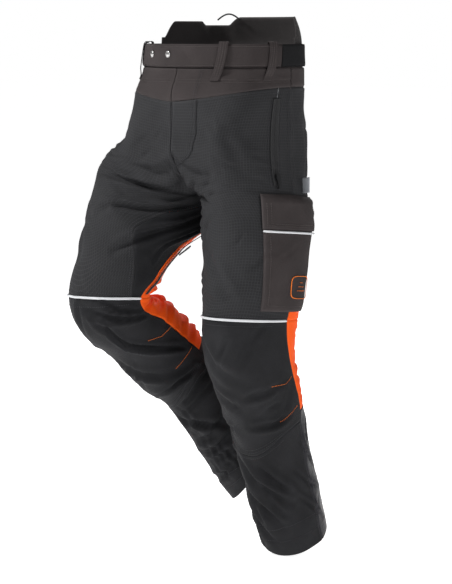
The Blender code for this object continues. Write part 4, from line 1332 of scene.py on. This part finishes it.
def pad(name, side, k0, k1, c0, c1, cells, u0, u1, key):
    """A quilted cut-protection pack: crowned channels between its sewn rows, edges pinched together."""
    count = max(24, round((k1 - k0) * 12))
    rows = np.linspace(k0, k1, count)
    f = np.linspace(c0, c1, 44) / cells
    lo, hi = edge(u0, rows), edge(u1, rows)
    u = lo[:, None] + (hi - lo)[:, None] * f
    k = np.repeat(rows[:, None], len(f), axis=1)
    p, n = form(side, k, u, 0.0 if k0 < 7 else -9.0)
    across, down = lengths(p)
    near = np.minimum.reduce([across, across[:, -1:] - across, down, down[-1:] - down])
    swell = np.interp(near, (0, .004, .012), (0.18, .75, 1.0))
    swell = swell * (0.72 + 0.28 * np.abs(np.sin(math.pi * down / 0.045)))
    centre = -0.0078
    creased = relief(side, k, u)
    outer = p + n * (centre + 0.0019 * swell + creased)[..., None]
    inner = p + n * (centre - 0.0021 * swell + creased)[..., None]
    obj = slab(name, (outer + inner) / 2, n, 0.004, "protection_fibre", None)
    co = np.concatenate([outer.reshape(-1, 3), inner.reshape(-1, 3)])
    obj.data.vertices.foreach_set("co", co.ravel().astype(np.float32))
    obj.data.update()
    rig.padded(obj, 0.5)
    move(obj, key)


def tube(name, side, k0, k1, key):
    """The lining of one part of a leg, open at both ends."""
    rows = np.linspace(k0, k1, max(12, round((k1 - k0) * 6)))
    k, u = np.meshgrid(rows, np.linspace(0, 1, 73)[:-1], indexing="ij")
    p, n = form(side, k, u)
    p = p + n * (relief(side, k, u) - 0.0148 + 0.0007 * np.sin(10 * math.pi * u + 3 * k))[..., None]
    obj = put(name, p, facing(p, n, quads(*k.shape, True)), "lining_grey",
              np.stack([u * .5, -depth(k, u)], -1))
    wide = float(girth(k).max())
    tall = float(depth(np.array(k1), np.array(.25)) - depth(np.array(k0), np.array(.25)))
    stands_for(obj, name, "lining_grey", key, flat=(wide, tall), held="hung",
               area=float(girth(k[:, 0]).mean()) * tall)


def shin(side):
    tag, knee, low = "_" + side, ("knee", side), ("ride", "shin_" + side)
    panel("knee_panel" + tag, side, 11, 16, "-rear_inner", "front_outer", "stretch_black", knee)
    panel("rear_knee" + tag, side, 11, 15, "rear_outer", "rear_inner", "stretch_orange", knee)
    panel("shin_panel" + tag, side, 16, 20, "-rear_inner", "front_outer", "stretch_black", low, hem=True)
    panel("calf_guard" + tag, side, 15, 20, "guard_front", "guard_back", "guard_coated", low, hem=True)
    panel("rear_calf" + tag, side, 15, 20, "guard_back", "rear_inner", "stretch_black", low, hem=True)
    pad("shin_pad" + tag, side, 11.1, 18.9, 3.1, 10.9, 12, "-rear_inner", "front_outer", knee)
    tube("shin_lining" + tag, side, 13.05, 19.6, low)
    legs = on_leg(side)
    stitch(knee, "thread_dark", legs, across_row(11.18, .02, .1, .2, .3, .4, .44))
    for key, d in ((knee, -.12), (knee, -.22), (low, .10)):
        stitch(key, "thread_dark", legs, across_row(16 + d, -.06, .02, .1, .2, .3, .4, .42))
    for k in (19.15, 19.55):
        stitch(low, "thread_dark", legs, across_row(k, *np.linspace(0, 1, 13)))
    for shift in (-.010, .012):
        stitch(low, "thread_dark", legs, beside("guard_front", shift, 16.1, 17.0, 18.0, 19.0, 19.9))
    for path in (((13.24, .519), (13.40, .475), (13.29, .421)),
                 ((14.64, .513), (14.85, .470), (15.09, .421)),
                 ((13.14, -.060), (13.02, .003), (12.72, .051)),
                 ((14.57, -.060), (14.60, .0), (14.67, .053))):
        stitch(knee, "thread_orange", on_leg(side, 0.0006), path, 0.0036, .0031, .0006)


def cargo():
    side, ride = "left", ("ride", "thigh_left")
    panel("cargo_bag", side, *BAG, "canvas_brown", ride, base=0.0034, lift=bag_lift, deep=0.0030)
    k, u = np.meshgrid(np.linspace(7.02, 8.20, 34), np.linspace(.392, .603, 40), indexing="ij")
    p, n = surface(side, k, u)
    wave = 0.0009 * np.sin(22 * u + 1) * smooth((k - 7.3) / 1.0)
    p = p + n * (0.0058 + flap_lift(k, u) + wave - 0.0036 * smooth((7.12 - k) / 0.1))[..., None]
    flap = slab("cargo_flap", p, n, 0.0016, "canvas_brown", None,
                uv=np.stack([(u - .50) * girth(k), -depth(k, u)], -1))
    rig.sheet(flap, held="hung", **cut(p))
    move(flap, ("flap", "left"))
    bead("cargo_flap_piping", side, 8.27, 0.393, 0.602, 0.0070, 0.0020, ("flap", "left"), flap_lift)
    t = np.linspace(0, 2 * math.pi, 121)[:-1]
    square = (np.abs(np.cos(t)) ** 5 + np.abs(np.sin(t)) ** 5) ** (-1 / 5)
    rings = []
    for grow in (1.0, 0.985, 0.955, 0.94, 0.955, 0.985):
        high = 0.0048 if grow in (1.0, 0.94) else (0.0056 if len(rings) < 3 else 0.0044)
        k = 9.875 + 0.355 * grow * square * np.sin(t)
        u = 0.525 + 0.0475 * grow * square * np.cos(t)
        rings.append(surface_lifted(k, u, high, bag_lift)[0])
    rings = np.stack(rings, 1)
    faces = [(i * 6 + j, i * 6 + (j + 1) % 6, (i + 1) % 120 * 6 + (j + 1) % 6, (i + 1) % 120 * 6 + j)
             for i in range(120) for j in range(6)]
    faces = facing(rings, rings - rings.mean(1, keepdims=True), faces)
    patch = put("cargo_patch", rings, faces, "patch_orange")
    stands_for(patch, "cargo_patch", "patch_orange", ride)
    for row, half in ((9.72, .010), (9.84, .017), (9.96, .024)):
        stitch(ride, "thread_orange", lambda k, u: surface_lifted(k, u, 0.0045, bag_lift),
               [(row, .525 - half), (row, .525 + half)], .0030, .0029, .0007)
    on_bag = lambda k, u: surface_lifted(k, u, 0.0040, bag_lift)
    on_flap = lambda k, u: surface_lifted(k, u, 0.0070, flap_lift)
    stitch(ride, "thread_brown", on_bag, [(8.4, .412), (9.5, .412), (10.5, .412), (10.5, .50), (10.5, .588)])
    for gap in (0.0, 0.010):
        left, right, foot = .404 + gap, .591 - gap, 8.10 - gap * 6
        stitch(("flap", "left"), "thread_brown", on_flap,
               [(7.30, left), (foot, left), (foot, right), (7.30, right)])


def surface_lifted(k, u, off, lift):
    """Points of the left leg's cloth, off metres above what lift adds."""
    p, n = surface("left", k, u)
    return p + n * (off + lift(k, u))[..., None], n


def finish_rigid():
    """Procedural metal and moulding on the sliders and tape that keep their own shape."""
    for obj in frame["nodes"].values():
        if obj.hide_render:
            continue
        mat = "snap_silver" if obj.name.startswith("fly_slider") else "zip_black"
        obj.data.materials.clear()
        obj.data.materials.append(LOOKS[mat])


# ---------------------------------------------------------------- stage
def build_stage():
    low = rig.bounds()[0][2]
    bpy.ops.mesh.primitive_plane_add(size=60, location=(0, 0, low - 0.003))
    floor = bpy.context.object
    floor.name = "floor"
    mat = bpy.data.materials.new("floor_white")
    mat.use_nodes = True
    shader = mat.node_tree.nodes["Principled BSDF"]
    shader.inputs["Base Color"].default_value = (0.95, 0.95, 0.95, 1)
    shader.inputs["Roughness"].default_value = 0.9
    shader.inputs["Emission Color"].default_value = (1, 1, 1, 1)
    shader.inputs["Emission Strength"].default_value = 0.85
    floor.data.materials.append(mat)
    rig.stage(floor)
    world = bpy.data.worlds.new("studio")
    bpy.context.scene.world = world
    world.use_nodes = True
    tree = world.node_tree
    dim = tree.nodes["Background"]
    dim.inputs["Color"].default_value = (1, 1, 1, 1)
    dim.inputs["Strength"].default_value = 0.16
    clear = tree.nodes.new("ShaderNodeBackground")      # what the camera itself sees
    clear.inputs["Color"].default_value = (1, 1, 1, 1)
    seen = tree.nodes.new("ShaderNodeLightPath")
    either = tree.nodes.new("ShaderNodeMixShader")
    tree.links.new(seen.outputs["Is Camera Ray"], either.inputs[0])
    tree.links.new(dim.outputs[0], either.inputs[1])
    tree.links.new(clear.outputs[0], either.inputs[2])
    tree.links.new(either.outputs[0], tree.nodes["World Output"].inputs["Surface"])
    for name, spot, power, size in (("key", (-1.8, -2.2, 2.3), 150, 0.7), ("fill", (3.8, -1.2, 1.2), 46, 1.2),
                                    ("back", (-1.6, 2.8, 1.4), 40, 1.6)):
        data = bpy.data.lights.new(name, "AREA")
        data.energy, data.size = power, size
        lamp = bpy.data.objects.new(name, data)
        lamp.location = spot
        lamp.rotation_euler = (Vector((0, 0, -0.5)) - Vector(spot)).to_track_quat("-Z", "Y").to_euler()
        bpy.context.scene.collection.objects.link(lamp)
    data = bpy.data.cameras.new("camera")
    data.sensor_fit, data.sensor_width, data.sensor_height = "AUTO", 36, 36
    data.lens = 134.6
    camera = bpy.data.objects.new("camera", data)
    azimuth, distance = math.radians(40.2), 4.314
    camera.location = (distance * math.sin(azimuth), -distance * math.cos(azimuth), 0.0207)
    camera.rotation_euler = (math.radians(90 - 6.77), 0, azimuth - math.radians(0.031))
    bpy.context.scene.collection.objects.link(camera)
    bpy.context.scene.camera = camera
    bpy.context.scene.view_settings.view_transform = "Standard"


build_waist()
build_trunk()
for leg in SIDES:
    thigh(leg)
    shin(leg)
cargo()
sew()
finish_rigid()
build_stage()
with open("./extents.json", "w") as f:
    json.dump([[list(c) for c in CAD_BOX], [list(c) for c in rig.bounds()]], f)
